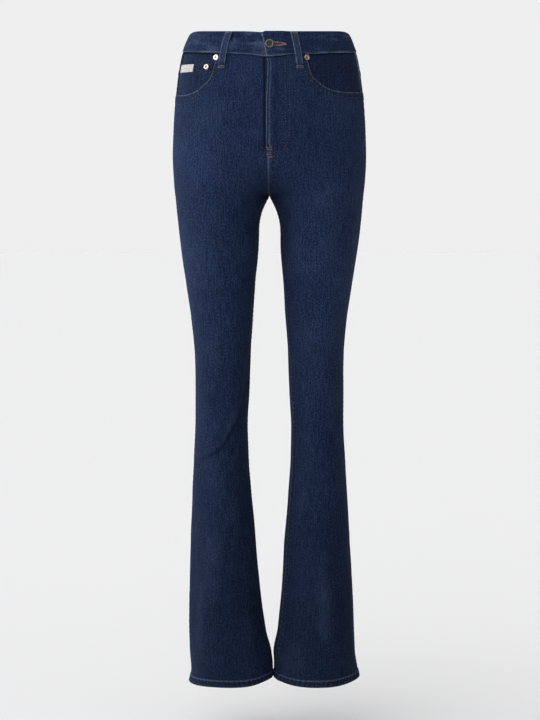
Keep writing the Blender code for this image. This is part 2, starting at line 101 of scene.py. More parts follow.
camera_data = bpy.data.cameras.new("camera")
camera_data.lens = CAMERA_LENS
camera = bpy.data.objects.new("camera", camera_data)
camera.location = CAMERA_PLACE
look = np.array(CAMERA_AIM) - np.array(CAMERA_PLACE)
tilt = math.atan2(math.hypot(look[0], look[1]), -look[2])
camera.rotation_euler = (tilt, 0, math.atan2(-look[0], look[1]))
bpy.context.collection.objects.link(camera)
bpy.context.scene.camera = camera
print("camera looks down by", round(math.degrees(math.atan2(-look[2], look[1])), 1), "degrees")

# %% [markdown]
# ## The form
# The waist, hips and legs are one surface, worked out from level sections. A place on it is its
# side (+1 is the wearer's left), its drop below the waist, and its share of the way round from the
# side seam (0) to the middle: 1 at the front and -1 at the back. The same tables make the solids,
# so a piece built here lies on its solid.

# %% Sizes of the form
SIDES = (("right", -1), ("left", 1))
CROTCH_DROP = 263.0
HEM_DROP = 1075.0
HOLD_DROP = 20.0
SIDE_RISE = 8.0
BACK_RISE = 16.0
RISE_FADE = 160.0
HEM_TUCK = {-1: 4.5, 1: 0.0}
TUCK_DROPS = (1020.0, 55.0)
HEM_RISE_IN = {-1: 6.0, 1: 5.0}
HEM_RISE_OUT = {-1: -2.0, 1: 6.0}
HEM_RISE_WIDTH = 0.4
HEM_RISE_DROPS = (1000.0, 75.0)
FORK_FRONT_DROP = 150.0
FORK_BACK_DROP = 120.0
WEB_ABOVE = 26.0
WEB_RISE = 60.0
WEB_FALL = 52.0
HIP_SQUARENESS = 2.25
LEG_SQUARENESS = 2.05
SQUARE_FROM = 150.0
SQUARE_FADE = 200.0

SECTION_COLUMNS = ("drop", "outer", "inner", "front", "back", "sway")
SECTIONS = (
    (0, 128, 17, 92, 92, 0),
    (20, 138, 17, 95, 96, 0),
    (40, 145, 17, 98, 101, 0),
    (70, 151, 17, 102, 109, 0),
    (110, 156, 17, 105, 119, 0),
    (150, 159, 17, 107, 127, 0),
    (195, 160.5, 17, 106.5, 130, 0),
    (240, 158.5, 17, 103, 124.5, 0),
    (270, 155.5, 17, 98.5, 116.5, 0),
    (300, 152.5, 17.5, 94, 108, 0),
    (345, 147, 18.5, 87.5, 96, 0),
    (405, 138.5, 23.5, 79.5, 83, -0.7),
    (465, 129.5, 27.5, 72, 73, -0.7),
    (530, 124, 31.5, 66, 64, -0.5),
    (590, 123, 33.5, 62, 57, -0.2),
    (650, 123.7, 36.5, 59, 54, -0.2),
    (700, 126, 35.5, 56, 57, 0),
    (770, 130, 30, 54, 62, 0.5),
    (850, 134, 23, 54, 66, 1.2),
    (930, 137, 17, 57, 69, 2.5),
    (990, 138.5, 10, 61, 71, 3.5),
    (1030, 139, 1.4, 63, 72, 5),
    (1055, 141, 0.6, 65, 73, 6.5),
    (1075, 145.5, 0.6, 66, 74, 6),
)
TWIST = {
    -1: ((0, 0), (263, 0), (690, 0), (900, 12), (1075, 12)),
    1: ((0, 0), (263, 0), (420, 22), (650, 28), (1075, 24)),
}
WAIST_SEAM = ((-1, 39), (-0.4, 35.5), (0, 33.5), (0.44, 34), (0.64, 35), (0.85, 37), (1, 41.5))
YOKE_SEAM = ((-1, 104), (-0.5, 88), (0, 70))
MOUTH = {
    -1: ((0, 99.5), (0.31, 101), (0.45, 96.5), (0.54, 85.5), (0.597, 73), (0.613, 60), (0.634, 34)),
    1: ((0, 95.5), (0.44, 96.5), (0.56, 94), (0.63, 89.5), (0.69, 80), (0.732, 70), (0.765, 34)),
}
print("legs run from", CROTCH_DROP, "to", HEM_DROP, "mm below the waist")


# %% Curves through the tables
def ease(t):
    """Go from 0 to 1 with a soft start and end."""
    t = np.clip(t, 0.0, 1.0)
    return t * t * (3 - 2 * t)


def bump(distance, width):
    """Return a soft bump that is 1 at distance 0 and gone by about twice the width."""
    return np.exp(-((distance / width) ** 2))


def round_edge(from_edge, radius, depth):
    """Return how far a folded edge turns in, this far from it."""
    return depth * (1 - np.sqrt(np.clip(1 - (1 - np.clip(from_edge / radius, 0, 1)) ** 2, 0, 1)))


def straight_curve(rows, where):
    """Read a table of places and values, straight between its rows."""
    return np.interp(where, *zip(*rows))


def smooth_curve(rows, column):
    """Read one column of a table as a smooth curve over its first column, with no overshoot."""
    place = np.array([row[0] for row in rows], float)
    value = np.array([row[column] for row in rows], float)
    step = np.diff(place)
    rate = np.diff(value) / step
    slope = np.zeros(len(place))
    slope[0] = rate[0]
    slope[-1] = rate[-1]
    for i in range(1, len(place) - 1):
        if rate[i - 1] * rate[i] > 0:
            near = 2 * step[i] + step[i - 1]
            far = step[i] + 2 * step[i - 1]
            slope[i] = (near + far) / (near / rate[i - 1] + far / rate[i])

    def read(where):
        where = np.clip(where, place[0], place[-1])
        i = np.clip(np.searchsorted(place, where) - 1, 0, len(step) - 1)
        t = (where - place[i]) / step[i]
        start = (1 + 2 * t) * (1 - t) ** 2 * value[i] + t * (1 - t) ** 2 * step[i] * slope[i]
        finish = t * t * (3 - 2 * t) * value[i + 1] + t * t * (t - 1) * step[i] * slope[i + 1]
        return start + finish

    return read


SECTION = {name: smooth_curve(SECTIONS, i) for i, name in enumerate(SECTION_COLUMNS) if i}
TWIST_AT = {side: smooth_curve(rows, 1) for side, rows in TWIST.items()}
WAIST_SEAM_AT = smooth_curve(WAIST_SEAM, 1)
YOKE_SEAM_AT = smooth_curve(YOKE_SEAM, 1)
MOUTH_AT = {side: smooth_curve(rows, 1) for side, rows in MOUTH.items()}
print("hip half width", float(SECTION["outer"](195.0)), "mm, knee", float(SECTION["outer"](590.0)), "mm")


# %% [markdown]
# Above the crotch each half is an oval cut off at the middle, and below it the oval closes into a
# leg. A web of cloth joins the two, as the fork of the pattern does, so the section's inner edge
# moves smoothly from one to the other.

# %% Points and normals of the form
def bare_form(side, share, drop):
    """Return points on the smooth form, before folds, in millimetres from the origin."""
    back = share < 0
    outer = SECTION["outer"](drop) - HEM_TUCK[side] * ease((drop - TUCK_DROPS[0]) / TUCK_DROPS[1])
    inner = SECTION["inner"](drop)
    fork_start = np.where(back, FORK_BACK_DROP, FORK_FRONT_DROP)
    fork = ease((drop - fork_start) / (CROTCH_DROP - fork_start))
    above = drop < CROTCH_DROP
    low = np.where(above, (outer + inner) * fork - outer, inner)
    half = (outer - low) / 2
    middle = (outer + low) / 2

    below = drop - CROTCH_DROP
    web_up = inner + (WEB_ABOVE - inner) * ease(-below / WEB_RISE)
    web_down = inner * np.sqrt(1 - ease(below / WEB_FALL))
    web = np.where(above, web_up, web_down) * (1 - (1 - fork) ** 3)

    bend = ease((drop - SQUARE_FROM) / SQUARE_FADE)
    power = HIP_SQUARENESS + (LEG_SQUARENESS - HIP_SQUARENESS) * bend
    reach = np.clip((web - middle) / half, -1.0, 1.0)
    clipped = np.arccos(np.sign(reach) * np.abs(reach) ** (power / 2))
    twist = np.radians(TWIST_AT[side](drop))
    end = np.where(above, clipped, np.where(back, math.pi + twist, math.pi - twist))
    turn = share * end

    across = np.cos(turn)
    along = np.sin(turn)
    x = middle + half * np.sign(across) * np.abs(across) ** (2 / power)
    x = np.sqrt(np.maximum(x * x - web**2 * (outer - x) / (outer - web), 0.0))
    depth = (SECTION["front"](drop) + SECTION["back"](drop)) / 2
    centre = (SECTION["back"](drop) - SECTION["front"](drop)) / 2
    y = centre - depth * np.sign(along) * np.abs(along) ** (2 / power)
    rise = SIDE_RISE - along * np.where(back, BACK_RISE - SIDE_RISE, SIDE_RISE)
    inner_end = HEM_RISE_IN[side] * np.exp(-(((across + 1) / HEM_RISE_WIDTH) ** 2))
    outer_end = HEM_RISE_OUT[side] * np.exp(-(((across - 1) / HEM_RISE_WIDTH) ** 2))
    hem = (inner_end + outer_end) * ease((drop - HEM_RISE_DROPS[0]) / HEM_RISE_DROPS[1])
    z = HOLD_DROP - drop + rise * (1 - ease(drop / RISE_FADE)) + hem
    return np.stack([side * x + SECTION["sway"](drop), y, z], -1)


def outward(side, share, drop):
    """Return the form's unit normals, from two short steps along it."""
    step_share = np.where(share > 0, -1e-3, 1e-3)
    step_drop = np.where(drop > HEM_DROP - 2, -1.0, 1.0)
    here = bare_form(side, share, drop)
    along = (bare_form(side, share + step_share, drop) - here) / step_share[..., None]
    down = (bare_form(side, share, drop + step_drop) - here) / step_drop[..., None]
    normal = side * np.cross(along, down)
    from_middle = ease((1 - np.abs(share)) / 0.05)
    normal[..., 0] *= 1 - (1 - from_middle) * (1 - ease((drop - 150) / 90))
    on_middle = (np.abs(share) > 0.9999) & (drop < CROTCH_DROP)
    normal[..., 0] = np.where(on_middle, 0.0, normal[..., 0])
    return normal / np.maximum(np.linalg.norm(normal, axis=-1, keepdims=True), 1e-12)


def lay(side, share, drop, lift):
    """Return points on the form, moved out by lift. Past the middle is the other side."""
    share, drop, lift = (np.array(a, float) for a in np.broadcast_arrays(share, drop, lift))
    points = np.zeros(share.shape + (3,))
    past = np.abs(share) > 1
    for this_side, chosen, place in ((side, ~past, share), (-side, past, np.sign(share) * 2 - share)):
        if chosen.any():
            s, d = place[chosen], drop[chosen]
            out = outward(this_side, s, d)
            points[chosen] = bare_form(this_side, s, d) + out * lift[chosen][:, None]
    return points


print("waist front is at", lay(1, 1.0, 0.0, 0.0).round(1))

# %% [markdown]
# A seam, a stitch row or a crease keeps its width in millimetres while the leg under it narrows and
# widens. So each panel also has flat coordinates, as on the cutting table: how far round from the
# side seam along the cloth, and how far down. A table of lengths along the form turns a share into
# that distance and back.

# %% Flat coordinates of a panel
TABLE_DROPS = np.linspace(0, HEM_DROP, 216)
TABLE_PARTS = np.linspace(0, 1, 241)


def measure_round(side, face):
    """Return how far round each share is, for each drop, in millimetres."""
    share, drop = np.meshgrid(TABLE_PARTS * face, TABLE_DROPS)
    steps = np.linalg.norm(np.diff(bare_form(side, share, drop), axis=1), axis=-1)
    return np.concatenate([np.zeros((len(TABLE_DROPS), 1)), np.cumsum(steps, axis=1)], axis=1)


def read_table(table, drop, part):
    """Read a table at drops and parts of the way round, straight between its entries."""
    row = np.clip(drop / HEM_DROP, 0, 1) * (len(TABLE_DROPS) - 1)
    column = np.clip(part, 0, 1) * (len(TABLE_PARTS) - 1)
    r = np.minimum(row.astype(int), len(TABLE_DROPS) - 2)
    c = np.minimum(column.astype(int), len(TABLE_PARTS) - 2)
    a, b = row - r, column - c
    top = table[r, c] * (1 - b) + table[r, c + 1] * b
    foot = table[r + 1, c] * (1 - b) + table[r + 1, c + 1] * b
    return top * (1 - a) + foot * a


ROUND = {(side, face): measure_round(side, face) for side in (-1, 1) for face in (-1, 1)}
SHARE_OF_PART = {
    key: np.stack([np.interp(TABLE_PARTS * row[-1], row, TABLE_PARTS) for row in table])
    for key, table in ROUND.items()
}


def width_at(side, face, drop):
    """Return a panel's width from its side seam to its middle edge."""
    return np.interp(drop, TABLE_DROPS, ROUND[side, face][:, -1])


def round_at(side, face, share, drop):
    """Return how far from the side seam a share is, going on past the middle to the other side."""
    share, drop = (np.array(a, float) for a in np.broadcast_arrays(np.abs(share), drop))
    past = width_at(-side, face, drop) - read_table(ROUND[-side, face], drop, 2 - share)
    return read_table(ROUND[side, face], drop, share) + np.where(share > 1, past, 0)


def share_at(side, face, distance, drop):
    """Return the share that is this far round from the side seam, past the middle too."""
    distance, drop = (np.array(a, float) for a in np.broadcast_arrays(distance, drop))
    past = distance - width_at(side, face, drop)
    own = read_table(SHARE_OF_PART[side, face], drop, distance / width_at(side, face, drop))
    other_width = width_at(-side, face, drop)
    other = read_table(SHARE_OF_PART[-side, face], drop, (other_width - past) / other_width)
    return face * np.where(past > 0.01, 2 - other, own)


GRAIN_X = 80.0


def grain_line(side, face):
    """Return how far round the straight grain lies at each drop: a plumb line down each leg."""
    found = []
    for drop, lengths in zip(TABLE_DROPS, ROUND[side, face]):
        x = side * bare_form(side, TABLE_PARTS * face, np.full(TABLE_PARTS.shape, drop))[:, 0]
        found.append(np.interp(-GRAIN_X, -x, lengths))
    return np.array(found)


GRAIN = {key: grain_line(*key) for key in ROUND}
for face, word in ((1, "front"), (-1, "back")):
    hip, knee = width_at(1, face, 200.0).round(), width_at(1, face, 600.0).round()
    print(word, "panel is", hip, "mm wide at the hip,", knee, "at the knee")


# %% [markdown]
# ## Folds and unevenness
# The main folds are the ones that the solids have: the dark crease that crosses the knee, the long
# drags down the shins, and the creases behind the knees. Round them come finer ones that show only
# as shading. Each is given as a row: where it runs from and to, how far it bows, and how wide and
# high it is. Real cloth is also never flat between its folds, so a soft noise, made once from a
# seeded grid, is added everywhere.

# %% Tables of folds
FOLD_COLUMNS = (
    "side", "face", "from_drop", "from_share", "to_drop", "to_share", "bow", "width", "height",
)
FOLDS = (
    (-1, 1, 628, 0.74, 694, 0.16, 12, 11, -1.6),
    (-1, 1, 520, 0.90, 640, 0.86, 0, 15, -2.6),
    (-1, 1, 705, 0.86, 1020, 0.60, 5, 13, -3.0),
    (-1, 1, 720, 0.50, 1000, 0.36, 0, 16, 1.4),
    (-1, 1, 760, 0.18, 1040, 0.16, 0, 10, -1.6),
    (1, 1, 745, 0.24, 910, 0.36, 4, 12, -2.8),
    (1, 1, 640, 0.40, 745, 0.30, 5, 14, -1.4),
    (1, 1, 590, 0.75, 690, 0.62, 6, 13, 1.3),
    (-1, -1, 590, 0.70, 668, 0.16, -10, 12, -3.0),
    (-1, -1, 636, 0.82, 722, 0.34, -8, 12, -2.4),
    (1, -1, 600, 0.78, 664, 0.20, 10, 12, -3.0),
    (1, -1, 655, 0.70, 716, 0.26, 6, 13, -2.2),
    (-1, -1, 760, 0.55, 1030, 0.50, 0, 16, -1.8),
    (1, -1, 770, 0.50, 1010, 0.56, 0, 15, -1.8),
    (-1, -1, 292, 0.93, 345, 0.30, 14, 13, -2.4),
    (1, -1, 295, 0.92, 352, 0.34, 14, 13, -2.2),
)
FINE_FOLDS = (
    (-1, 1, 612, 0.86, 650, 0.70, 3, 5, 0.8),
    (-1, 1, 560, 0.95, 600, 0.74, 4, 7, -0.8),
    (-1, 1, 690, 0.30, 730, 0.10, 4, 5, 0.7),
    (-1, 1, 790, 0.62, 990, 0.50, 3, 6, -0.8),
    (-1, 1, 850, 0.80, 1030, 0.74, 0, 6, 0.7),
    (-1, 1, 880, 0.30, 1020, 0.26, 2, 7, 0.6),
    (1, 1, 700, 0.60, 860, 0.70, 4, 7, -0.9),
    (1, 1, 820, 0.52, 1020, 0.50, 2, 8, 0.8),
    (1, 1, 610, 0.36, 660, 0.14, 4, 6, -0.8),
    (1, 1, 880, 0.18, 1040, 0.20, 2, 7, -0.9),
    (1, 1, 660, 0.88, 760, 0.74, 5, 6, -0.7),
    (-1, 1, 268, 0.97, 330, 0.62, 10, 9, -0.9),
    (1, 1, 268, 0.97, 340, 0.60, 10, 9, -0.9),
    (-1, 1, 236, 0.98, 262, 0.72, 6, 7, 0.6),
    (1, 1, 232, 0.98, 260, 0.70, 6, 7, 0.6),
    (-1, -1, 618, 0.60, 684, 0.24, -8, 5, 1.0),
    (1, -1, 628, 0.66, 690, 0.28, 8, 5, 1.0),
    (-1, -1, 560, 0.62, 612, 0.26, 6, 6, -0.9),
    (1, -1, 564, 0.60, 618, 0.22, 6, 6, -0.9),
    (-1, -1, 700, 0.66, 770, 0.40, 5, 7, -0.8),
    (1, -1, 694, 0.70, 764, 0.44, 5, 7, -0.8),
    (-1, -1, 318, 0.80, 372, 0.36, 12, 8, 0.9),
    (1, -1, 322, 0.82, 378, 0.38, 12, 8, 0.9),
    (-1, -1, 880, 0.34, 1040, 0.30, 3, 9, 0.8),
    (1, -1, 860, 0.32, 1030, 0.36, 3, 9, 0.8),
    (-1, -1, 820, 0.74, 1000, 0.72, 3, 8, -0.8),
    (1, -1, 830, 0.74, 1010, 0.78, 3, 8, -0.8),
)
CREASE = (
    (505, 0.83), (560, 0.80), (600, 0.765), (633, 0.689), (654, 0.611), (674.5, 0.517), (685, 0.42),
    (693, 0.32), (698, 0.20),
)
CREASE_STRENGTH = ((505, 0.0), (560, 0.25), (610, 0.5), (636, 1.0), (688, 1.0), (698, 0.45))
FOLD_SPAN = {1: 150.0, -1: 165.0}
FOLD_FADE = 0.22
print(len(FOLDS), "main folds and", len(FINE_FOLDS), "fine ones")


# %% Heights of folds
def fold_height(folds, side, share, drop):
    """Add up the folds at places on the cloth."""
    total = np.zeros(np.shape(drop))
    for row in folds:
        fold = dict(zip(FOLD_COLUMNS, row))
        if fold["side"] != side:
            continue
        span = FOLD_SPAN[fold["face"]]
        start = np.array([fold["from_share"] * span, fold["from_drop"]])
        run = np.array([fold["to_share"] * span, fold["to_drop"]]) - start
        length = np.linalg.norm(run)
        run = run / length
        across_mm = share * fold["face"] * span - start[0]
        down_mm = drop - start[1]
        t = (across_mm * run[0] + down_mm * run[1]) / length
        off = down_mm * run[0] - across_mm * run[1] + fold["bow"] * 4 * t * (1 - t)
        fade = ease(t / FOLD_FADE) * ease((1 - t) / FOLD_FADE)
        same_face = share * fold["face"] > 0
        total = total + np.where(same_face, fold["height"] * fade * bump(off, fold["width"]), 0)
    return total


NOISE_CELLS = 128
NOISE_GRID = np.random.default_rng(7).uniform(-1, 1, (NOISE_CELLS, NOISE_CELLS))


def soft_noise(across, down, size, seed=0):
    """Return a smooth noise from -1 to 1 whose swells are about this size, in millimetres."""
    a = np.asarray(across, float) / size + seed * 17.3
    d = np.asarray(down, float) / size + seed * 9.1
    i, j = np.floor(a).astype(int), np.floor(d).astype(int)
    s, t = ease(a - i), ease(d - j)
    corner = [NOISE_GRID[(i + m) % NOISE_CELLS, (j + n) % NOISE_CELLS] for m in (0, 1) for n in (0, 1)]
    near = corner[0] * (1 - t) + corner[1] * t
    far = corner[2] * (1 - t) + corner[3] * t
    return near * (1 - s) + far * s


print("noise runs from", NOISE_GRID.min().round(2), "to", NOISE_GRID.max().round(2))

# %% [markdown]
# ## Seams in the cloth
# Where two panels are sewn, the cloth is doubled under a flat felled band, held down by rows of
# thread, and drawn into small puckers between the rows. It shows on worn jeans more than the thread
# does: the high points of the puckers rub pale, and painted shade darkens their troughs and the
# seam's edge. So each seam is a relief worked out from the distance to its edge, and the same relief
# also says how worn a place is and where shade is painted.

# %% Sizes of the seams
CLOTH = 1.2
FELL_WIDTH = 8.0
FELL_LIFT = 0.55
HEM_DEPTH = 12.0
HEM_LIFT = 0.8
MOUTH_BAND = 9.5
FLY_LIFT = 1.5
FLY_RAMP_SHARE = (0.94, 0.985)
FLY_END_DROP = 188.0
FLY_EDGE = ((34, -7.0), (42, -4.6), (50, -2.6), (111, -5.2), (181, -5.2), (188, -3.0))
FLY_ROWS = (25.6, 32.2)
FLY_TURN_DROP = 168.0


def pucker(along, seed, pitch=7.5):
    """Return the puckers along a stitched seam, from about -1 to 1, uneven in length and depth."""
    phase = along / pitch + 0.9 * soft_noise(along, 0 * along, 22, seed)
    depth = 0.6 + 0.5 * soft_noise(along, 0 * along, 31, seed + 1)
    return np.sin(math.tau * phase) * depth


def seam_relief(from_edge, along, seed, felled):
    """Return lift, rubbing and painted shade by a seam; a felled seam has a doubled band by its edge."""
    from_edge = np.abs(from_edge)
    draw = pucker(along, seed)
    lift = -0.6 * bump(from_edge, 1.0)
    # Painted shade along the seam's edge.
    wear_and_shade = -0.55 * bump(from_edge, 1.1)
    if felled:
        band = 1 - ease((from_edge - FELL_WIDTH + 0.6) / 1.2)
        lift = lift + FELL_LIFT * band + 0.32 * draw * band
        lift = lift - 0.28 * bump(from_edge - 1.8, 0.7) - 0.28 * bump(from_edge - 6.4, 0.7)
        wear_and_shade = wear_and_shade + 0.16 * band * np.maximum(draw, 0) + 0.06 * bump(from_edge - FELL_WIDTH + 0.7, 0.9)
        # Painted shade in the troughs of the puckers on the felled band.
        wear_and_shade = wear_and_shade - 0.75 * bump(from_edge - 4.6, 2.2) * np.maximum(-draw, 0)
        lift = lift + 0.12 * draw * bump(from_edge - FELL_WIDTH - 2, 4)
    else:
        lift = lift + (0.28 + 0.25 * draw) * bump(from_edge - 4, 3.0)
        # Paler on the puckers' crests, with painted shade in their troughs.
        wear_and_shade = wear_and_shade + (0.18 + 0.25 * draw) * bump(from_edge - 3.2, 2.0)
    return lift, wear_and_shade


def hem_relief(distance, drop, seed):
    """Return the lift, rubbing and painted shade of the turned-up hem, which ropes in slanting ripples.
    """
    up = HEM_DROP - drop
    inside = 1 - ease((up - HEM_DEPTH + 0.5) / 1.4)
    phase = (distance + 0.5 * up) / 7.6 + 0.8 * soft_noise(distance, 0 * distance, 23, seed)
    rope = np.sin(math.tau * phase) * (0.7 + 0.4 * soft_noise(distance, 0 * distance, 37, seed + 1))
    lift = HEM_LIFT * inside + 0.22 * rope * inside * ease(up / 3)
    lift = lift + 0.15 * rope * bump(up - HEM_DEPTH - 3, 4) - 0.3 * bump(up - HEM_DEPTH + 1.6, 0.8)
    lift = lift - round_edge(up, 1.4, 0.9)
    # A pale rubbed edge; the ropes are paler on their crests, with painted shade in their troughs.
    wear_and_shade = 0.22 * bump(up, 1.3) + (0.10 * np.maximum(rope, 0) - 0.22 * np.maximum(-rope, 0)) * inside
    # A pale rubbed line at the turn-up's fold, and a line of painted shadow just above the hem.
    wear_and_shade = wear_and_shade + 0.30 * bump(up - HEM_DEPTH + 0.4, 0.9) - 0.15 * bump(up - HEM_DEPTH - 1.4, 1.0)
    return lift, wear_and_shade


print("felled seams are", FELL_WIDTH, "mm wide and hems", HEM_DEPTH, "mm deep")


# %% Distance to a line drawn on a panel
def near_line(line, across, down):
    """Return the distance from places to a line of flat points, and how far along it they are."""
    best = np.full(np.shape(across), 1e9)
    along = np.zeros(np.shape(across))
    gone = 0.0
    for (x0, y0), (x1, y1) in zip(line[:-1], line[1:]):
        length = math.hypot(x1 - x0, y1 - y0)
        t = np.clip(((across - x0) * (x1 - x0) + (down - y0) * (y1 - y0)) / length**2, 0, 1)
        distance = np.hypot(across - x0 - t * (x1 - x0), down - y0 - t * (y1 - y0))
        closer = distance < best
        best = np.where(closer, distance, best)
        along = np.where(closer, gone + t * length, along)
        gone += length
    return best, along


def mouth_line(side, out=0.0, count=70):
    """Return a pocket mouth's edge in flat coordinates, or a line this far outside it."""
    last = MOUTH[side][-1][0]
    share = np.concatenate([np.linspace(0, 0.52, count // 2), np.linspace(0.53, last, count // 2)])
    drop = MOUTH_AT[side](share)
    line = np.stack([round_at(side, 1, share, drop), drop], -1)
    run = np.gradient(line, axis=0)
    run /= np.linalg.norm(run, axis=1, keepdims=True)
    return line + out * np.stack([-run[:, 1], run[:, 0]], -1)


MOUTH_LINES = {side: mouth_line(side) for side in (-1, 1)}
for side, line in MOUTH_LINES.items():
    print("mouth", side, "is", np.linalg.norm(np.diff(line, axis=0), axis=1).sum().round(), "mm long")


# %% [markdown]
# The relief of a whole panel adds these up: its folds, its side seam, its inner seam, its hem, and
# on a front the pocket's mouth and the fly. Pieces sewn on top of a panel and stitches run on the
# same relief, so nothing floats over a dip or sinks into a ridge.

# %% Relief of the panels
CREASE_LINE = [(float(round_at(-1, 1, share, drop)), drop) for drop, share in CREASE]


def knee_crease(distance, drop):
    """Return the lift of the crease over the right knee, a step down to its inner side, and its painted
    shade and highlight.
    """
    off = near_line(CREASE_LINE, distance, drop)[0]
    across, down = zip(*CREASE_LINE)
    inner = (drop > down[-1]) | (distance > np.interp(drop, down, across))
    strength = straight_curve(CREASE_STRENGTH, drop)
    strength = np.where(drop > down[-1], strength * bump(drop - down[-1], 14), strength)
    strength = strength * ease((drop - down[0] + 4) / 12)
    step = np.tanh(off / 2.4)
    lift = strength * step * np.where(inner, -2.3 * bump(off, 15), 1.5 * bump(off, 17))
    # Painted shade on the crease's inner side, and a faint painted highlight above its step.
    shade = np.where(inner, -0.30 * bump(off, 3.2) - 0.10 * bump(off, 16), 0.06 * bump(off - 6, 7))
    return lift, shade * strength


def from_fly_edge(share, drop):
    """Return how far a place on the left front is from the fly's lapped edge."""
    edge = width_at(1, 1, drop) - straight_curve(FLY_EDGE, drop)
    return edge - round_at(1, 1, share, drop)


def panel_relief(side, face, share, drop):
    """Return the lift, rubbing and painted shade of a front or back panel at places on it."""
    share, drop = (np.array(a, float) for a in np.broadcast_arrays(share, drop))
    distance = round_at(side, face, share, drop)
    width = width_at(side, face, drop)
    seed = 3 * side + 7 * face + 11
    main = fold_height(FOLDS, side, share, drop)
    fine = fold_height(FINE_FOLDS, side, share, drop)
    lift = main + fine
    # Paler on the folds' ridges and swells, where the cloth rubs, with painted shade in their troughs.
    wear_and_shade = 0.02 * np.clip(main, -3, 3) + 0.05 * np.clip(fine, -1, 1)
    calm = ease((drop - 110) / 120)
    swell = soft_noise(distance, drop * 0.55, 30, seed)
    lift = lift + (0.12 + 0.5 * calm) * swell + 0.14 * soft_noise(distance, drop * 0.7, 13, seed + 1)
    wear_and_shade = wear_and_shade + 0.03 * swell
    if (side, face) == (-1, 1):
        crease_lift, crease_shade = knee_crease(distance, drop)
        lift, wear_and_shade = lift + crease_lift, wear_and_shade + crease_shade

    seam_lift, seam_wear_and_shade = seam_relief(distance, drop, seed + 2, felled=False)
    lift, wear_and_shade = lift + seam_lift, wear_and_shade + seam_wear_and_shade
    to_middle = np.abs(width - distance)
    low = ease((drop - CROTCH_DROP + 6) / 12)
    felled = {(1, 1): ease((drop - 192) / 8), (-1, 1): low, (1, -1): 1 - low, (-1, -1): 0.0}[side, face]
    plain = {(1, 1): 0.0, (-1, 1): 0.0, (1, -1): low, (-1, -1): 1.0}[side, face]
    for on, kind in ((felled, True), (plain, False)):
        in_lift, in_wear_and_shade = seam_relief(to_middle, drop, seed + 3, felled=kind)
        lift, wear_and_shade = lift + in_lift * on, wear_and_shade + in_wear_and_shade * on

    hem_lift, hem_wear_and_shade = hem_relief(distance, drop, seed + 4)
    hem_on = ease((drop - HEM_DROP + 26) / 6)
    lift, wear_and_shade = lift + hem_lift * hem_on, wear_and_shade + hem_wear_and_shade * hem_on
    if face > 0:
        front_lift, front_wear_and_shade = front_relief(side, share, drop, distance, seed)
        lift, wear_and_shade = lift + front_lift, wear_and_shade + front_wear_and_shade
    else:
        top = drop - YOKE_SEAM_AT(share)
        lift = lift - 0.35 * bump(top, 1.6)
        # Painted shade along the yoke seam.
        wear_and_shade = wear_and_shade - 0.4 * bump(top, 1.2)
    return lift, wear_and_shade


def front_relief(side, share, drop, distance, seed):
    """Return the lift, rubbing and painted shade that a front panel has at its mouth, waist seam and
    fly.
    """
    from_mouth, along = near_line(MOUTH_LINES[side], distance, drop)
    draw = pucker(along, seed + 5, pitch=6.0)
    band = 1 - ease((from_mouth - MOUTH_BAND) / 1.6)
    lift = 0.35 * band + 0.24 * draw * band * ease((from_mouth - 0.8) / 2)
    lift = lift - round_edge(from_mouth, 1.1, 0.5)
    lift = lift - 0.22 * bump(from_mouth - 2.2, 0.7) - 0.22 * bump(from_mouth - 8.6, 0.7)
    edge = 0.75 + 0.25 * soft_noise(along, 0 * along, 9, seed + 6)
    # Pale rubbed mouth edge; the band is darker, its puckers pale on crests, painted shade in troughs.
    wear_and_shade = 0.95 * edge * bump(from_mouth, 1.25) - 0.16 * band + 0.4 * band * draw
    waist = drop - WAIST_SEAM_AT(share)
    lift = lift - 0.45 * bump(waist, 1.8)
    # Painted shadow under the waistband's lower edge.
    wear_and_shade = wear_and_shade - 0.55 * bump(waist, 1.6)
    if side > 0:
        ramp = ease((share - FLY_RAMP_SHARE[0]) / (FLY_RAMP_SHARE[1] - FLY_RAMP_SHARE[0]))
        foot = 1 - ease((drop - FLY_END_DROP) / 2.5)
        lift = lift + FLY_LIFT * ramp * foot
        facing = np.interp(share, (0.70, 0.79, 0.80, 1.1), (0, 0, 1, 1)) * foot
        lift = lift + 0.25 * facing + 0.12 * soft_noise(distance, drop, 10, seed + 7) * facing
        from_edge = from_fly_edge(share, drop)
        wear_and_shade = wear_and_shade + 0.75 * bump(from_edge, 1.5) * foot * (0.8 + 0.2 * soft_noise(drop, drop, 14, seed))
        # A second pale rubbed line, and a darker line along the edge stitching between the two.
        wear_and_shade = wear_and_shade + 0.42 * bump(from_edge - 4.4, 1.1) * foot - 0.6 * bump(from_edge - 2.5, 0.9) * foot
        # Painted shade in the groove between the fly's edge and its curved stitching.
        wear_and_shade = wear_and_shade - 0.30 * bump(from_edge - 14, 3.5) * foot * ease((drop - 60) / 20)
    else:
        from_middle = width_at(side, 1, drop) - distance
        # Painted shadow cast by the lapped fly edge on the right front.
        wear_and_shade = wear_and_shade - 0.9 * bump(from_middle - 8.4, 2.2) * (1 - ease((drop - 186) / 6))
    below_fly = ease((drop - 190) / 6) * (1 - ease((drop - CROTCH_DROP) / 8))
    wear_and_shade = wear_and_shade + 0.5 * below_fly * bump(width_at(side, 1, drop) - distance, 1.4)
    return lift, wear_and_shade


print("the lift beside the knee crease is", float(panel_relief(-1, 1, 0.5, 620.0)[0]), "mm")

# %% [markdown]
# ## Cloth as a mesh
# Every piece of cloth starts as a flat grid, as a cut panel does, and its points are then moved to
# their places on the form. A solidify modifier gives it its thickness inwards, with a second
# material for the paler reverse of the denim. The flat coordinates are kept as a UV map in metres,
# so the weave follows the grain of each panel round the leg, and the rubbed paleness and the painted
# shade are kept together as one attribute.

# %% Make a piece of cloth
bpy.context.scene.view_settings.view_transform = "Standard"


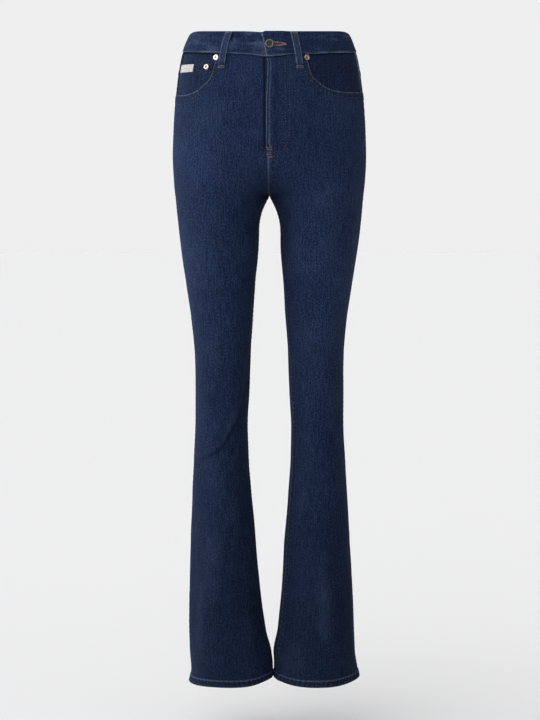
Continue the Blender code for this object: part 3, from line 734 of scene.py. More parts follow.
def finish_named(name):
    """Return a material by name, empty until its own cell fills it in."""
    if name in bpy.data.materials:
        return bpy.data.materials[name]
    made = bpy.data.materials.new(name)
    made.use_nodes = True
    return made


def link_mesh(name, mesh, finishes):
    """Put a finished mesh in the scene as a piece at the origin, riding on the garment."""
    for finish in finishes:
        mesh.materials.append(finish_named(finish))
    piece = bpy.data.objects.new(name, mesh)
    bpy.context.collection.objects.link(piece)
    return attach(piece, "root")


def grid_mesh(name, points, across, down, wear_and_shade):
    """Make a mesh from a grid of points in millimetres, with its flat coordinates, rubbing and painted
    shade.
    """
    rows, columns = points.shape[:2]
    grid = bmesh.new()
    bmesh.ops.create_grid(grid, x_segments=columns - 1, y_segments=rows - 1, size=1)
    mesh = bpy.data.meshes.new(name)
    grid.to_mesh(mesh)
    grid.free()
    flat = np.zeros(len(mesh.vertices) * 3)
    mesh.vertices.foreach_get("co", flat)
    column = np.rint((flat[0::3] + 1) / 2 * (columns - 1)).astype(int)
    row = np.rint((flat[1::3] + 1) / 2 * (rows - 1)).astype(int)
    mesh.vertices.foreach_set("co", (points[row, column] * MM).ravel())

    corner = np.zeros(len(mesh.loops), int)
    mesh.loops.foreach_get("vertex_index", corner)
    across, down, wear_and_shade = (np.broadcast_to(a, (rows, columns))[row, column] for a in (across, down, wear_and_shade))
    while mesh.uv_layers:
        mesh.uv_layers.remove(mesh.uv_layers[0])
    uv = np.stack([across, down], -1)[corner] * MM
    mesh.uv_layers.new(name="cloth").data.foreach_set("uv", uv.ravel())
    # This attribute is rubbed paleness above zero, with a little painted light, and painted shade below
    # zero.
    mesh.attributes.new("wear_and_shade", "FLOAT", "POINT").data.foreach_set("value", wear_and_shade)
    mesh.shade_smooth()
    return mesh


def sew(name, side, share, drop, lift, wear_and_shade, thickness, face=1, finish="denim", inside="denim_inside"):
    """Lay a grid of places on the form, lifted, and give it its wall inwards."""
    share, drop, lift = (np.array(a, float) for a in np.broadcast_arrays(share, drop, lift))
    points = lay(side, share, drop, lift)
    from_grain = round_at(side, face, share, drop) - np.interp(drop, TABLE_DROPS, GRAIN[side, face])
    mesh = grid_mesh(name, points, from_grain + 300 * side + 900 * face, drop, wear_and_shade)
    r, c = share.shape[0] // 2, share.shape[1] // 2
    facing = np.cross(points[r, c] - points[r, c - 1], points[r, c] - points[r - 1, c])
    if (facing * outward(side, np.clip(share[r, c], -0.99, 0.99), drop[r, c])).sum() < 0:
        mesh.flip_normals()
    piece = link_mesh(name, mesh, (finish, inside))
    wall = piece.modifiers.new("wall", "SOLIDIFY")
    wall.thickness = thickness * MM
    wall.offset = -1
    wall.material_offset = 1
    return piece


def flat_area(piece):
    """Return the area of a piece's outer face, in square metres."""
    return sum(face.area for face in piece.data.polygons)


print("cloth pieces are made at the origin, in metres")

# %% [markdown]
# ## The four panels
# A front and a back panel make each leg, from the waist or the yoke down to the hem. Their columns
# are kept a fixed distance from each seam, where the relief is finest, and spread evenly between.
# Their rows crowd at the crotch, at the knee and at the hem. The pocket's mouth is cut into the top
# edge of a front, so the top row follows it.

# %% Rows and columns of a panel
EDGE_STEPS = (0, 0.7, 1.5, 2.4, 3.6, 5.0, 6.2, 7.2, 8.2, 9.6, 11.5, 13.5)
STRAIGHT_FROM = 150.0
MIDDLE_COLUMNS = 66
MOUTH_STEEP = {-1: (0.585, 0.642), 1: (0.675, 0.775)}
MOUTH_COLUMNS = 13
MOUTH_TOP = 34
ROW_STEPS = (
    (150, 3.2), (262, 2.0), (300, 2.8), (560, 3.4), (600, 2.6), (720, 2.6), (800, 3.4), (1040, 2.6),
    (1058, 0.9),
)


def panel_columns(side, face, drop):
    """Return the share of each column at a drop, close together beside both seams and the mouth."""
    width = width_at(side, face, drop)
    near = np.array(EDGE_STEPS)
    inner = np.linspace(near[-1], width - near[-1], MIDDLE_COLUMNS)[1:-1]
    if face > 0:
        inner = np.concatenate([inner, np.linspace(*MOUTH_STEEP[side], MOUTH_COLUMNS) * width])
    return share_at(side, face, np.sort(np.concatenate([near, inner, width - near])), drop)


def panel_rows(top):
    """Return the drops of a panel's rows, from its top edge down to the hem."""
    parts = np.array([0, 0.012, 0.03, 0.055, 0.085, 0.12, *np.linspace(0.16, 1, 36)])[:, None]
    levels = [STRAIGHT_FROM]
    while levels[-1] < HEM_DROP - 1.5:
        levels.append(levels[-1] + float(straight_curve(ROW_STEPS, levels[-1])))
    lower = np.array(levels[1:-1] + [HEM_DROP - 0.5, HEM_DROP])[:, None] + 0 * top
    return np.concatenate([top + (STRAIGHT_FROM - top) * parts, lower])


def panel_places(side, face, top_of):
    """Return the shares and drops of a panel's grid. Its top edge follows the given curve."""
    straight = panel_columns(side, face, STRAIGHT_FROM)
    drop = panel_rows(top_of(straight))
    share = np.stack([panel_columns(side, face, max(row.max(), STRAIGHT_FROM)) for row in drop])
    return share, drop


def front_top(side):
    """Return the top edge of a front: the waist seam, or the mouth where it cuts in."""
    last = MOUTH[side][-1][0]

    def top_edge(share):
        return np.where(share < last, np.maximum(MOUTH_AT[side](share), MOUTH_TOP), WAIST_SEAM_AT(share))

    return top_edge


def lap_over(share, drop):
    """Carry the left front's edge past the middle, down to the foot of the fly."""
    width = width_at(1, 1, drop)
    distance = round_at(1, 1, share, drop)
    lap = -straight_curve(FLY_EDGE, drop) * (1 - ease((drop - FLY_END_DROP + 2) / 3))
    return share_at(1, 1, distance + lap * np.clip((distance - width + 14) / 14, 0, 1), drop)


print("a front has", len(panel_columns(1, 1, 200.0)), "columns")

# %% Sew the panels
for word, side in SIDES:
    share, drop = panel_places(side, 1, front_top(side))
    if side > 0:
        share = lap_over(share, drop)
    lift, wear_and_shade = panel_relief(side, 1, share, drop)
    front = sew(f"cloth_front_{word}", side, share, drop, lift, wear_and_shade, CLOTH)
    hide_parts(f"front_{word}")
    print(front.name, share.shape, "outer area", round(flat_area(front), 4))

    share, drop = panel_places(side, -1, YOKE_SEAM_AT)
    lift, wear_and_shade = panel_relief(side, -1, share, drop)
    back = sew(f"cloth_back_{word}", side, share, drop, lift, wear_and_shade, CLOTH, face=-1)
    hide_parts(f"back_{word}")
    print(back.name, share.shape, "outer area", round(flat_area(back), 4))

# %% [markdown]
# ## Waistband and yokes
# The band is a folded strip, thicker than the legs' cloth, so its long edges are round and stand
# out over the waist seam. On worn jeans that lower edge rubs pale, and a line of painted shadow runs
# under it. The left end laps over the right one and its corner is rounded. The yokes fill the back
# between the band and the back panels, and their lower seam is felled.

# %% Sew the waistband and the yokes
BAND_CLOTH = 2.2
BAND_LIFT = 0.8
BAND_EDGE = ((0, -12.6), (22, -9.0), (42, -4.9))
BAND_CORNER = 6.5
SIDE_DIP = 5.0
BAND_UNDERLAP_SHARE = 1.04
BAND_RAMP_SHARE = (0.86, 0.93)
BAND_ROWS = (0, 0.5, 1.1, 1.9, 3.0)
LAYER_GAP = 0.3


def band_top(side, share):
    """Return the drop of the band's top edge: it dips at the hip, and under the lap on the right."""
    return SIDE_DIP * bump(share, 0.17) + (1.8 * bump(share - 1, 0.10) if side < 0 else 0)


def band_places(side):
    """Return the shares and drops of half the waistband's grid, and the distance to its end."""
    past = BAND_UNDERLAP_SHARE - 1
    columns = np.concatenate([np.linspace(-1, 0.93, 150), np.linspace(0.935, 1 + past, 26)])
    foot = WAIST_SEAM_AT(np.minimum(columns, 2 - columns))
    near = np.array(BAND_ROWS)[:, None]
    inner = np.linspace(0, 1, 15)[1:-1, None]
    part = np.concatenate([near + 0 * foot, near[-1] + (foot - 2 * near[-1]) * inner, foot - near[::-1]])
    top = band_top(side, columns)
    drop = top + part * (foot - top) / foot
    share = columns + 0 * drop
    end = round_at(side, 1, 1 + past, drop)
    if side > 0:
        end = width_at(side, 1, drop) - straight_curve(BAND_EDGE, drop)
        start = round_at(side, 1, 0.93, drop)
        lapped = share_at(side, 1, start + (columns - 0.93) / (0.07 + past) * (end - start), drop)
        share = np.where(columns > 0.93, lapped, share)
    return share, drop, np.where(share > 0, end - round_at(side, 1, share, drop), 1e3)


def band_relief(side, share, drop):
    """Return the lift of the waistband, with its rubbing and its painted light and shade."""
    foot = WAIST_SEAM_AT(np.minimum(share, 2 - share))
    distance = np.where(share < 0, -1, 1) * round_at(side, 1, share, drop)
    top = band_top(side, share)
    up, down = drop - top, foot - drop
    lift = BAND_LIFT - round_edge(up, 1.5, 0.9) - round_edge(down, 1.7, 1.1)
    lift = lift - 0.25 * bump(up - 3.0, 0.8) - 0.25 * bump(down - 3.0, 0.8)
    ripple = soft_noise(distance, drop * 2.4, 24, 40 + side)
    ripple = ripple + 0.5 * soft_noise(distance, drop * 2.0, 11, 43 + side)
    lift = lift + 0.38 * ripple * ease(up / 5) * ease(down / 5)
    draw = pucker(distance, 46 + side, pitch=8.0)
    edges = bump(up - 2, 3) + bump(down - 2, 3)
    lift = lift + 0.16 * draw * edges
    if side > 0:
        ramp = ease((share - BAND_RAMP_SHARE[0]) / (BAND_RAMP_SHARE[1] - BAND_RAMP_SHARE[0]))
        lift = lift + (BAND_CLOTH + LAYER_GAP) * ramp
    uneven = 0.7 + 0.4 * soft_noise(distance, 0 * drop, 10, 47 + side)
    # Pale rubbed edges; the ripples are paler on their crests, with painted shade in their troughs.
    wear_and_shade = 0.22 * bump(up, 1.4) * uneven + 0.70 * bump(down - 0.5, 1.2) * uneven + 0.16 * ripple
    streak = soft_noise(distance, drop * 7, 34, 49 + side)
    streak = streak + 0.5 * soft_noise(distance, drop * 6, 15, 52 + side)
    front = ease((share - 0.6) / 0.2)
    wear_and_shade = wear_and_shade + (0.15 * streak - 0.02) * ease(up / 4) + 0.08 * bump(down - 6, 4) * front
    # Front on the wearer's right and middle paler, left half darker: part rubbed, part painted light and
    # shade.
    wear_and_shade = wear_and_shade + 0.09 * front * (side < 0) - 0.08 * (side > 0) + 0.05 * ease((share - 0.78) / 0.1)
    # Puckers paler on their crests, with painted shade in their troughs.
    return lift, wear_and_shade + 0.12 * draw * edges


for word, side in SIDES:
    share, drop, from_end = band_places(side)
    lift, wear_and_shade = band_relief(side, share, drop)
    if side > 0:
        corner = round_edge(from_end, BAND_CORNER, BAND_CORNER) * (1 - ease(drop / 14))
        wear_and_shade = wear_and_shade + 0.75 * bump(from_end - 0.4, 1.3)
        lift = lift - round_edge(from_end, 1.4, 0.8)
        drop = drop + corner
    band = sew(f"cloth_waistband_{word}", side, share, drop, lift, wear_and_shade, BAND_CLOTH)
    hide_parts(f"waistband_{word}")
    print(band.name, share.shape, "outer area", round(flat_area(band), 4))


def yoke_relief(side, share, drop):
    """Return the lift, rubbing and painted shade of a back yoke."""
    distance = round_at(side, -1, share, drop)
    foot = YOKE_SEAM_AT(share) - drop
    waist = drop - WAIST_SEAM_AT(share)
    foot_lift, wear_and_shade = seam_relief(foot, distance, 52 + side, felled=True)
    middle_lift = seam_relief(width_at(side, -1, drop) - distance, drop, 54, felled=side > 0)[0]
    lift = 0.25 * soft_noise(distance, drop, 22, 50 + side) + foot_lift + middle_lift
    # Painted shadow under the waistband's lower edge.
    return lift - 0.45 * bump(waist, 1.8), wear_and_shade - 0.5 * bump(waist, 1.6)


for word, side in SIDES:
    columns = panel_columns(side, -1, 90.0)
    top, foot = WAIST_SEAM_AT(columns), YOKE_SEAM_AT(columns)
    near = np.array(EDGE_STEPS)[:, None]
    parts = np.linspace(0, 1, 16)[:-1, None]
    drop = np.concatenate([top + (foot - near[-1] - top) * parts, foot - near[::-1]])
    lift, wear_and_shade = yoke_relief(side, columns + 0 * drop, drop)
    yoke = sew(f"cloth_yoke_{word}", side, columns + 0 * drop, drop, lift, wear_and_shade, CLOTH, face=-1)
    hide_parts(f"yoke_{word}")
    print(yoke.name, drop.shape, "outer area", round(flat_area(yoke), 4))

# %% [markdown]
# ## Inside the pocket mouths
# A facing shows inside each mouth. On the wearer's right the coin pocket lies on it, with a turned
# band along its top that carries a small blank woven label. They are pieces of the same cloth a
# little way behind the front, so the mouth's edge throws its shadow on them, and painted shade
# darkens them as well.

# %% Sew the facings, the coin pocket and the fly guard
UNDER_GAP = 0.9
COIN_CLOTH = 1.0
COIN_LIFT = -CLOTH - UNDER_GAP
COIN_TOP_DROP = 51.0
COIN_EDGE_SHARE = 0.6
COIN_BAND = 14.5
COIN_STEPS = (0, 0.6, 1.3, 2.4, 3.6, 5.2, 7.0, 8.8, 10.4, 11.5, 12.6, 13.8, 14.6, 15.6, 17.0)
COIN_ROWS = (2.4, 11.5)
FACING_CLOTH = 1.0
FACING_START = 0.004
FACING_LIFT = {-1: COIN_LIFT - COIN_CLOTH - LAYER_GAP, 1: -CLOTH - 1.3}
MOUTH_LAP_SHARE = 0.055
MOUTH_LAP_DROP = 10.0

for word, side in SIDES:
    columns = np.linspace(FACING_START, MOUTH[side][-1][0] + MOUTH_LAP_SHARE - FACING_START, 70)
    top = WAIST_SEAM_AT(columns)
    foot = MOUTH_AT[side](columns - MOUTH_LAP_SHARE) + MOUTH_LAP_DROP
    drop = top + (foot - top) * np.linspace(0, 1, 30)[:, None]
    distance = round_at(side, 1, columns, drop)
    swell = soft_noise(distance, drop, 24, 60 + side)
    lift = FACING_LIFT[side] + 0.3 * swell - 0.3 * bump(drop - top, 1.8)
    # Painted shade over the whole facing, deeper in a line under the waist seam.
    wear_and_shade = -0.32 + 0.1 * swell - 0.4 * bump(drop - top, 2.0)
    facing = sew(f"cloth_facing_{word}", side, columns + 0 * drop, drop, lift, wear_and_shade, FACING_CLOTH)
    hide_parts(f"pocket_facing_{word}")
    print(facing.name, "outer area", round(flat_area(facing), 4))


def coin_relief(side, share, drop):
    """Return the lift, rubbing and painted shade of the coin pocket."""
    distance = round_at(side, 1, share, drop)
    from_top = drop - COIN_TOP_DROP
    draw = pucker(distance, 66, pitch=6.5)
    band = 1 - ease((from_top - COIN_BAND) / 1.2)
    lift = COIN_LIFT + 0.2 * soft_noise(distance, drop, 20, 65) - round_edge(from_top, 1.2, 0.6)
    lift = lift + 0.15 * draw * band - 0.2 * bump(from_top - 2.4, 0.7) - 0.2 * bump(from_top - 11.5, 0.7)
    wear_and_shade = 0.35 * bump(from_top, 1.2) + 0.25 * draw * band + 0.3 * bump(from_top - COIN_BAND, 0.9)
    # Painted shade over the whole coin pocket, a little more on its band.
    return lift, wear_and_shade + 0.08 * soft_noise(distance, drop, 16, 67) - 0.25 - 0.12 * band


columns = np.linspace(FACING_START, COIN_EDGE_SHARE, 64)
foot = MOUTH_AT[-1](columns) + MOUTH_LAP_DROP * 0.5
upper = COIN_TOP_DROP + np.array(COIN_STEPS)[:, None]
lower = upper[-1] + (foot - upper[-1]) * np.linspace(0, 1, 15)[1:, None]
drop = np.concatenate([upper + 0 * foot, lower])
lift, wear_and_shade = coin_relief(-1, columns + 0 * drop, drop)
coin = sew("cloth_coin_pocket", -1, columns + 0 * drop, drop, lift, wear_and_shade, COIN_CLOTH)
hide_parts("coin_pocket")

share = np.linspace(0.89, 1.07, 24) + np.zeros((30, 1))
drop = np.linspace(44, FLY_END_DROP - 4, 30)[:, None] + 0 * share
# The fly guard gets a little painted shade.
guard = sew("cloth_fly_guard", 1, share, drop, -CLOTH - UNDER_GAP, -0.1, CLOTH)
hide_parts("fly_guard")
print("coin pocket", round(flat_area(coin), 4), "fly guard", round(flat_area(guard), 4))

# %% [markdown]
# ## Back pockets and belt loops
# A back pocket is a patch with a pointed foot, laid on the finished relief of the back panel. The
# stitching on it is only the plain double row that holds it. A belt loop is a narrow strip folded
# in three, thick at both edges, that stands off the band between its two sewn ends.

# %% Sew the back pockets and the belt loops
POCKET_MIDDLE = 83.0
POCKET_TOP_DROP = 116.0
POCKET_TOP_WIDTH = 124.0
POCKET_FOOT_WIDTH = 112.0
POCKET_SIDE = 122.0
POCKET_POINT = 17.0
POCKET_TILT = 6.0
POCKET_GAP = 0.6
POCKET_HALF = 60
POCKET_LENGTH = 130
POCKET_HEM = 13.4


def share_at_x(side, face, x, drop):
    """Return the share at which the cloth is x from the middle plane, for each place."""
    found = np.zeros(np.shape(drop))
    for place in np.ndindex(found.shape):
        reach = side * bare_form(side, TABLE_PARTS * face, np.full(TABLE_PARTS.shape, drop[place]))[:, 0]
        found[place] = face * np.interp(-x[place], -reach, TABLE_PARTS)
    return found


def pocket_places(side, part, across):
    """Return the shares and drops of places on a back pocket: part way down and across it."""
    half_width = (POCKET_TOP_WIDTH + (POCKET_FOOT_WIDTH - POCKET_TOP_WIDTH) * part) / 2
    foot = POCKET_SIDE + POCKET_POINT * (1 - np.abs(across))
    drop = POCKET_TOP_DROP + POCKET_TILT * across / 2 + foot * part
    return share_at_x(side, -1, POCKET_MIDDLE - across * half_width, drop), drop


def pocket_lift(side, share, drop):
    """Return the lift of a back pocket's outer face over the panel."""
    return panel_relief(side, -1, share, drop)[0] * 0.6 + 2 * CLOTH + POCKET_GAP - 0.6


for word, side in SIDES:
    steps = np.array(EDGE_STEPS)
    inset = steps / POCKET_HALF
    top_steps = np.array((0, 1, 2, 4, 7, 10, 12, 13, 14, 16)) / POCKET_LENGTH
    foot_steps = 1 - steps[::-1] / POCKET_LENGTH
    across, part = np.meshgrid(
        np.concatenate([-1 + inset, np.linspace(-0.74, 0.74, 29), 1 - inset[::-1]]),
        np.concatenate([top_steps, np.linspace(0.15, 0.9, 30), foot_steps]),
    )
    share, drop = pocket_places(side, part, across)
    from_side = (1 - np.abs(across)) * POCKET_HALF
    from_foot = (1 - part) * POCKET_LENGTH
    from_top = part * POCKET_LENGTH
    from_sewn = np.minimum(from_side, from_foot)
    edge = np.minimum(from_side, np.minimum(from_foot, from_top))
    lift = pocket_lift(side, share, drop) - round_edge(edge, 1.2, 0.7)
    draw = pucker(np.where(from_side < from_foot, from_top, from_side), 70 + side, pitch=7.0)
    sewn = bump(from_sewn - 3.5, 3.5)
    lift = lift + 0.2 * draw * sewn - 0.2 * bump(from_sewn - 1.8, 0.7)
    lift = lift - 0.2 * bump(from_sewn - 7.6, 0.7) - 0.25 * bump(from_top - POCKET_HEM, 1.0)
    # Pale rubbed edges and hem fold; puckers paler on crests, with painted shade in their troughs.
    wear_and_shade = 0.5 * bump(edge, 1.3) + 0.2 * draw * sewn + 0.25 * bump(from_top - 14.6, 1.0)
    pocket = sew(f"cloth_back_pocket_{word}", side, share, drop, lift, wear_and_shade, CLOTH, face=-1)
    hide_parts(f"back_pocket_{word}")
    print(pocket.name, share.shape, "outer area", round(flat_area(pocket), 4))

# Each loop has its name, its side, and its share of the way round at its top and at its foot.
LOOPS = (
    ("belt_loop_front_right", -1, 0.697, 0.683),
    ("belt_loop_front_left", 1, 0.835, 0.815),
    ("belt_loop_back_right", -1, -0.42, -0.42),
    ("belt_loop_back_left", 1, -0.42, -0.42),
    ("belt_loop_back_middle", 1, -1.0, -1.0),
)
LOOP_WIDTH = 11.5
LOOP_CLOTH = 1.6
LOOP_PATH = ((0.8, 1.4), (6, 2.3), (14, 2.9), (24, 2.9), (33, 2.5), (43, 1.9), (52, 0.9), (60, 0.5))
LOOP_LIFT_AT = smooth_curve(LOOP_PATH, 1)


def loop_places(row, across, drop):
    """Return the shares and lifts of places across a belt loop, from -1 to 1, at drops."""
    name, side, top, bottom = row
    face = 1 if top > 0 else -1
    middle = round_at(side, face, top + (bottom - top) * drop / LOOP_PATH[-1][0], drop)
    return share_at(side, face, middle + across / 2 * LOOP_WIDTH, drop), LOOP_LIFT_AT(drop) + LOOP_CLOTH


for row in LOOPS:
    across = np.array((-1, -0.95, -0.86, -0.72, -0.55, -0.3, 0, 0.3, 0.55, 0.72, 0.86, 0.95, 1))
    down = np.concatenate([[0.8, 1.1, 1.6, 2.4], np.linspace(3.5, 57.5, 34), [58.4, 59.2, 59.7, 60.0]])
    across, drop = np.meshgrid(across, down)
    share, lift = loop_places(row, across, drop)
    end = np.minimum(drop - 0.8, 60 - drop)
    lift = lift - round_edge(end, 1.2, 0.7) - round_edge((1 - np.abs(across)) * 5.75, 0.9, 0.7)
    lift = lift + 0.22 * bump(np.abs(across) - 0.68, 0.22) + 0.12 * soft_noise(drop, across * 4, 7, 80)
    wear_and_shade = 0.62 * bump(np.abs(across) - 0.86, 0.16) * (0.8 + 0.3 * soft_noise(drop, across * 9, 6, 81))
    # Pale rubbed ends and a slight overall paleness, and painted shade near the foot where the loop
    # turns in.
    wear_and_shade = wear_and_shade + 0.5 * bump(end, 1.0) + 0.08 - 0.4 * bump(drop - 55, 2.2)
    loop_face = 1 if row[2] > 0 else -1
    loop = sew(f"cloth_{row[0]}", row[1], share, drop, lift, wear_and_shade, LOOP_CLOTH, face=loop_face)
    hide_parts(row[0])
print("belt loops are", LOOP_WIDTH, "mm wide; one covers", round(flat_area(loop) * 1e6), "square mm")

# %% [markdown]
# ## The blank label
# The woven tab on the coin pocket is left plain. It is a short piece of pale ribbon whose ends are
# folded under, so it has soft ends and a fine rib across it, and it puckers a little where it is
# stitched down.

# %% Weave the label
LABEL_CLOTH = 0.6
LABEL_SHARES = (0.13, 0.39)
LABEL_DROPS = (53.5, 65.5)

share, drop = np.meshgrid(np.linspace(*LABEL_SHARES, 60), np.linspace(*LABEL_DROPS, 26))
distance = round_at(-1, 1, share, drop)
ends = np.minimum(distance - distance.min(), distance.max() - distance)
edges = np.minimum(drop - drop.min(), drop.max() - drop)
tilt = (share - LABEL_SHARES[0]) / (LABEL_SHARES[1] - LABEL_SHARES[0])
lift = COIN_LIFT + LAYER_GAP + LABEL_CLOTH + 0.12 * soft_noise(distance, drop, 6, 90)
lift = lift + 0.25 * bump(ends - 1.5, 1.6) - 0.2 * bump(ends - 2.8, 0.6) - 0.15 * bump(edges, 0.8)
ribbon = {"finish": "label_weave", "inside": "label_weave"}
label = sew("woven_label", -1, share, drop - 1.0 * tilt, lift, 0.0, LABEL_CLOTH, **ribbon)
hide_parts("blank_label")
print("label is", round(float(np.ptp(distance))), "by", round(float(np.ptp(drop)), 1), "mm")

# %% [markdown]
# ## Button and rivets
# The metal is turned: a profile of radius and height is spun once round its axis. The shank button
# has a raised rim round a dished face. A rivet is a ring with a small hollow and a burr in its
# middle. Each is then set on the cloth, square to the surface under it.

# %% Turn the button and the rivets
BUTTON_PROFILE = (
    (0, 1.75), (1.4, 1.8), (1.8, 2.05), (2.2, 1.85), (3.9, 1.9), (4.4, 2.45), (5.0, 3.0), (5.8, 3.15),
    (6.6, 2.95), (7.2, 2.4), (7.5, 1.7), (7.3, 0.9), (6.6, 0.35), (5.8, 0), (0, 0),
)
RIVET_PROFILE = (
    (0, 0.95), (0.5, 0.9), (0.8, 0.6), (1.1, 0.42), (1.5, 0.45), (1.8, 1.2), (2.5, 1.85), (3.4, 1.9),
    (4.1, 1.6), (4.6, 1.0), (4.8, 0.4), (4.7, 0), (0, 0),
)
TURNED_STEPS = 40
BUTTON_HOLLOW = 4.3
RIVET_HOLLOW = 1.55


def seat(x, drop, lift):
    """Return the point on the front cloth at x and drop, and the axes across, up and out there."""
    side = 1 if x > 0 else -1
    share = share_at_x(side, 1, np.array([abs(x)]), np.array([float(drop)]))
    level = np.array([float(drop)])
    out = outward(side, share, level)[0]
    across = np.cross((0, 0, 1), out)
    across /= -np.linalg.norm(across)
    return lay(side, share, level, lift)[0], np.stack([across, np.cross(out, across), out])


def turned_piece(name, profile, place, axes, finishes, inner):
    """Spin a profile round its axis and set it on the cloth. Faces within inner are duller."""
    turned = bmesh.new()
    points = [turned.verts.new((radius, 0, height)) for radius, height in profile]
    edges = [turned.edges.new(pair) for pair in zip(points[:-1], points[1:])]
    whole_turn = {"angle": math.tau, "steps": TURNED_STEPS, "use_merge": True}
    bmesh.ops.spin(turned, geom=points + edges, cent=(0, 0, 0), axis=(0, 0, 1), **whole_turn)
    bmesh.ops.remove_doubles(turned, verts=turned.verts, dist=0.01)
    bmesh.ops.recalc_face_normals(turned, faces=turned.faces)
    for face in turned.faces:
        middle = face.calc_center_median()
        face.material_index = int(math.hypot(middle.x, middle.y) < inner and middle.z > 0.2)
    for point in turned.verts:
        point.co = (place + np.array(point.co) @ axes) * MM
    mesh = bpy.data.meshes.new(name)
    if np.linalg.det(axes) < 0:
        bmesh.ops.reverse_faces(turned, faces=turned.faces)
    turned.to_mesh(mesh)
    turned.free()
    mesh.shade_smooth()
    return link_mesh(name, mesh, finishes)


BUTTON_PLACE = (0.4, 21.0)
RIVETS = (
    ("rivet_mouth_right", -86.0, 42.5, 0.5, "bright_metal"),
    ("rivet_mouth_left", 60.3, 42.5, 0.5, "dark_metal"),
    ("rivet_coin_pocket", -102.6, 57.0, COIN_LIFT + 0.5, "worn_metal"),
)
place, axes = seat(*BUTTON_PLACE, BAND_LIFT + BAND_CLOTH + 0.6)
finishes = ("aged_metal", "hollow_metal")
button = turned_piece("turned_waist_button", BUTTON_PROFILE, place, axes, finishes, BUTTON_HOLLOW)
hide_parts("waist_button")
for name, x, drop, lift, finish in RIVETS:
    finishes = (finish, "dull_metal")
    rivet = turned_piece(f"turned_{name}", RIVET_PROFILE, *seat(x, drop, lift), finishes, RIVET_HOLLOW)
    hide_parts(name)
print("button is", 2 * max(BUTTON_PROFILE)[0], "mm across, rivets", 2 * max(RIVET_PROFILE)[0])

# %% [markdown]
# ## Thread
# Topstitching is a row of short, fat stitches that dip into the cloth between two needle holes. A
# few thousand of them hold the jeans together, so one stitch is made once, as a stretched ball of
# twenty faces, and copies of it are laid along each row and joined. A row is drawn on its panel's
# flat coordinates and follows the same relief as the cloth. A bar tack is the same stitch again,
# packed side by side across a short bar. Dark flattened copies laid between the stitches are
# painted shade for the troughs.

# %% Lay stitches along a row
STITCH_PITCH = 4.4
STITCH_SIZE = (3.2, 1.05, 0.62)
# Size of the dark dashes of painted shade laid between stitches.
SHADE_DASH_SIZE = (1.7, 2.0, 0.4)
PUCKER_PITCH = 7.4
TACK_SIZE = (2.4, 0.5, 0.55)
TACK_PITCH = 0.6
THREAD_LIFT = 0.12
# Lift of the dark dashes of painted shade over the cloth.
SHADE_DASH_LIFT = 0.08
ROW_INSETS = (1.8, 6.4)
uneven = np.random.default_rng(21)


def stitch_row(side, share, drop, lift, pitch=STITCH_PITCH, turned=False):
    """Return the middles, directions and outward axes of stitches along a line of places."""
    share, drop, lift = (np.array(a, float) for a in np.broadcast_arrays(share, drop, lift))
    line = lay(side, share, drop, lift)
    out = lay(side, share, drop, lift + 1.0) - line
    gone = np.concatenate([[0], np.cumsum(np.linalg.norm(np.diff(line, axis=0), axis=1))])
    places = (np.arange(max(int(gone[-1] / pitch), 1)) + 0.5) * pitch
    middle, ahead, axis = (
        np.stack([np.interp(at, gone, values[:, k]) for k in range(3)], -1)
        for at, values in ((places, line), (places + 0.3 * pitch, line), (places, out))
    )
    along = ahead - middle
    along[np.linalg.norm(along, axis=1) < 1e-6] = (0, 0, -1)
    along /= np.linalg.norm(along, axis=1, keepdims=True)
    axis /= np.linalg.norm(axis, axis=1, keepdims=True)
    return middle, (np.cross(axis, along) if turned else along), axis


def sew_thread(name, rows, finish, size=STITCH_SIZE, slant=0.12):
    """Join copies of one stitch along all of a row list's places."""
    ball = bmesh.new()
    bmesh.ops.create_icosphere(ball, subdivisions=1, radius=0.5)
    corners = np.array([point.co for point in ball.verts])
    triangles = np.array([[point.index for point in face.verts] for face in ball.faces])
    ball.free()
    middle, along, out = (np.concatenate([row[k] for row in rows]) for k in range(3))
    across = np.cross(out, along)
    turn = slant + uneven.normal(0, 0.05, (len(middle), 1))
    cosine, sine = np.cos(turn), np.sin(turn)
    along, across = along * cosine + across * sine, across * cosine - along * sine
    length = size[0] * uneven.normal(1, 0.06, (len(middle), 1, 1))
    points = middle[:, None] + corners[None, :, :1] * length * along[:, None]
    points = points + corners[None, :, 1:2] * size[1] * across[:, None]
    points = points + corners[None, :, 2:] * size[2] * out[:, None]
    faces = triangles[None] + (np.arange(len(middle)) * len(corners))[:, None, None]
    mesh = bpy.data.meshes.new(name)
    mesh.from_pydata((points.reshape(-1, 3) * MM).tolist(), [], faces.reshape(-1, 3).tolist())
    mesh.shade_smooth()
    print(name, len(middle), "stitches")
    return link_mesh(name, mesh, (finish,))


def sew_painted_shade(name, rows, size=SHADE_DASH_SIZE):
    """Lay dark flattened stitches of painted shade where the thread goes down between a row list's
    stitches.
    """
    between = [
        ((middle[1:] + middle[:-1]) / 2 + SHADE_DASH_LIFT * out[1:], along[1:], out[1:])
        for middle, along, out in rows
    ]
    return sew_thread(name, between, "thread_shadow", size=size, slant=0.0)


def relief_row(relief, side, share, drop, raise_by=THREAD_LIFT, **laid):
    """Return a row of stitches that rests on a piece's own relief."""
    share, drop = (np.array(a, float) for a in np.broadcast_arrays(share, drop))
    return stitch_row(side, share, drop, relief(side, share, drop)[0] + raise_by, **laid)


def panel_row(side, face, distance, drop, raise_by=THREAD_LIFT, **laid):
    """Return a row of stitches at flat places on a panel, resting on its relief."""
    distance, drop = (np.array(a, float) for a in np.broadcast_arrays(distance, drop))
    share = share_at(side, face, distance, drop)
    return stitch_row(side, share, drop, panel_relief(side, face, share, drop)[0] + raise_by, **laid)


print("a stitch is", STITCH_SIZE[0], "mm long")

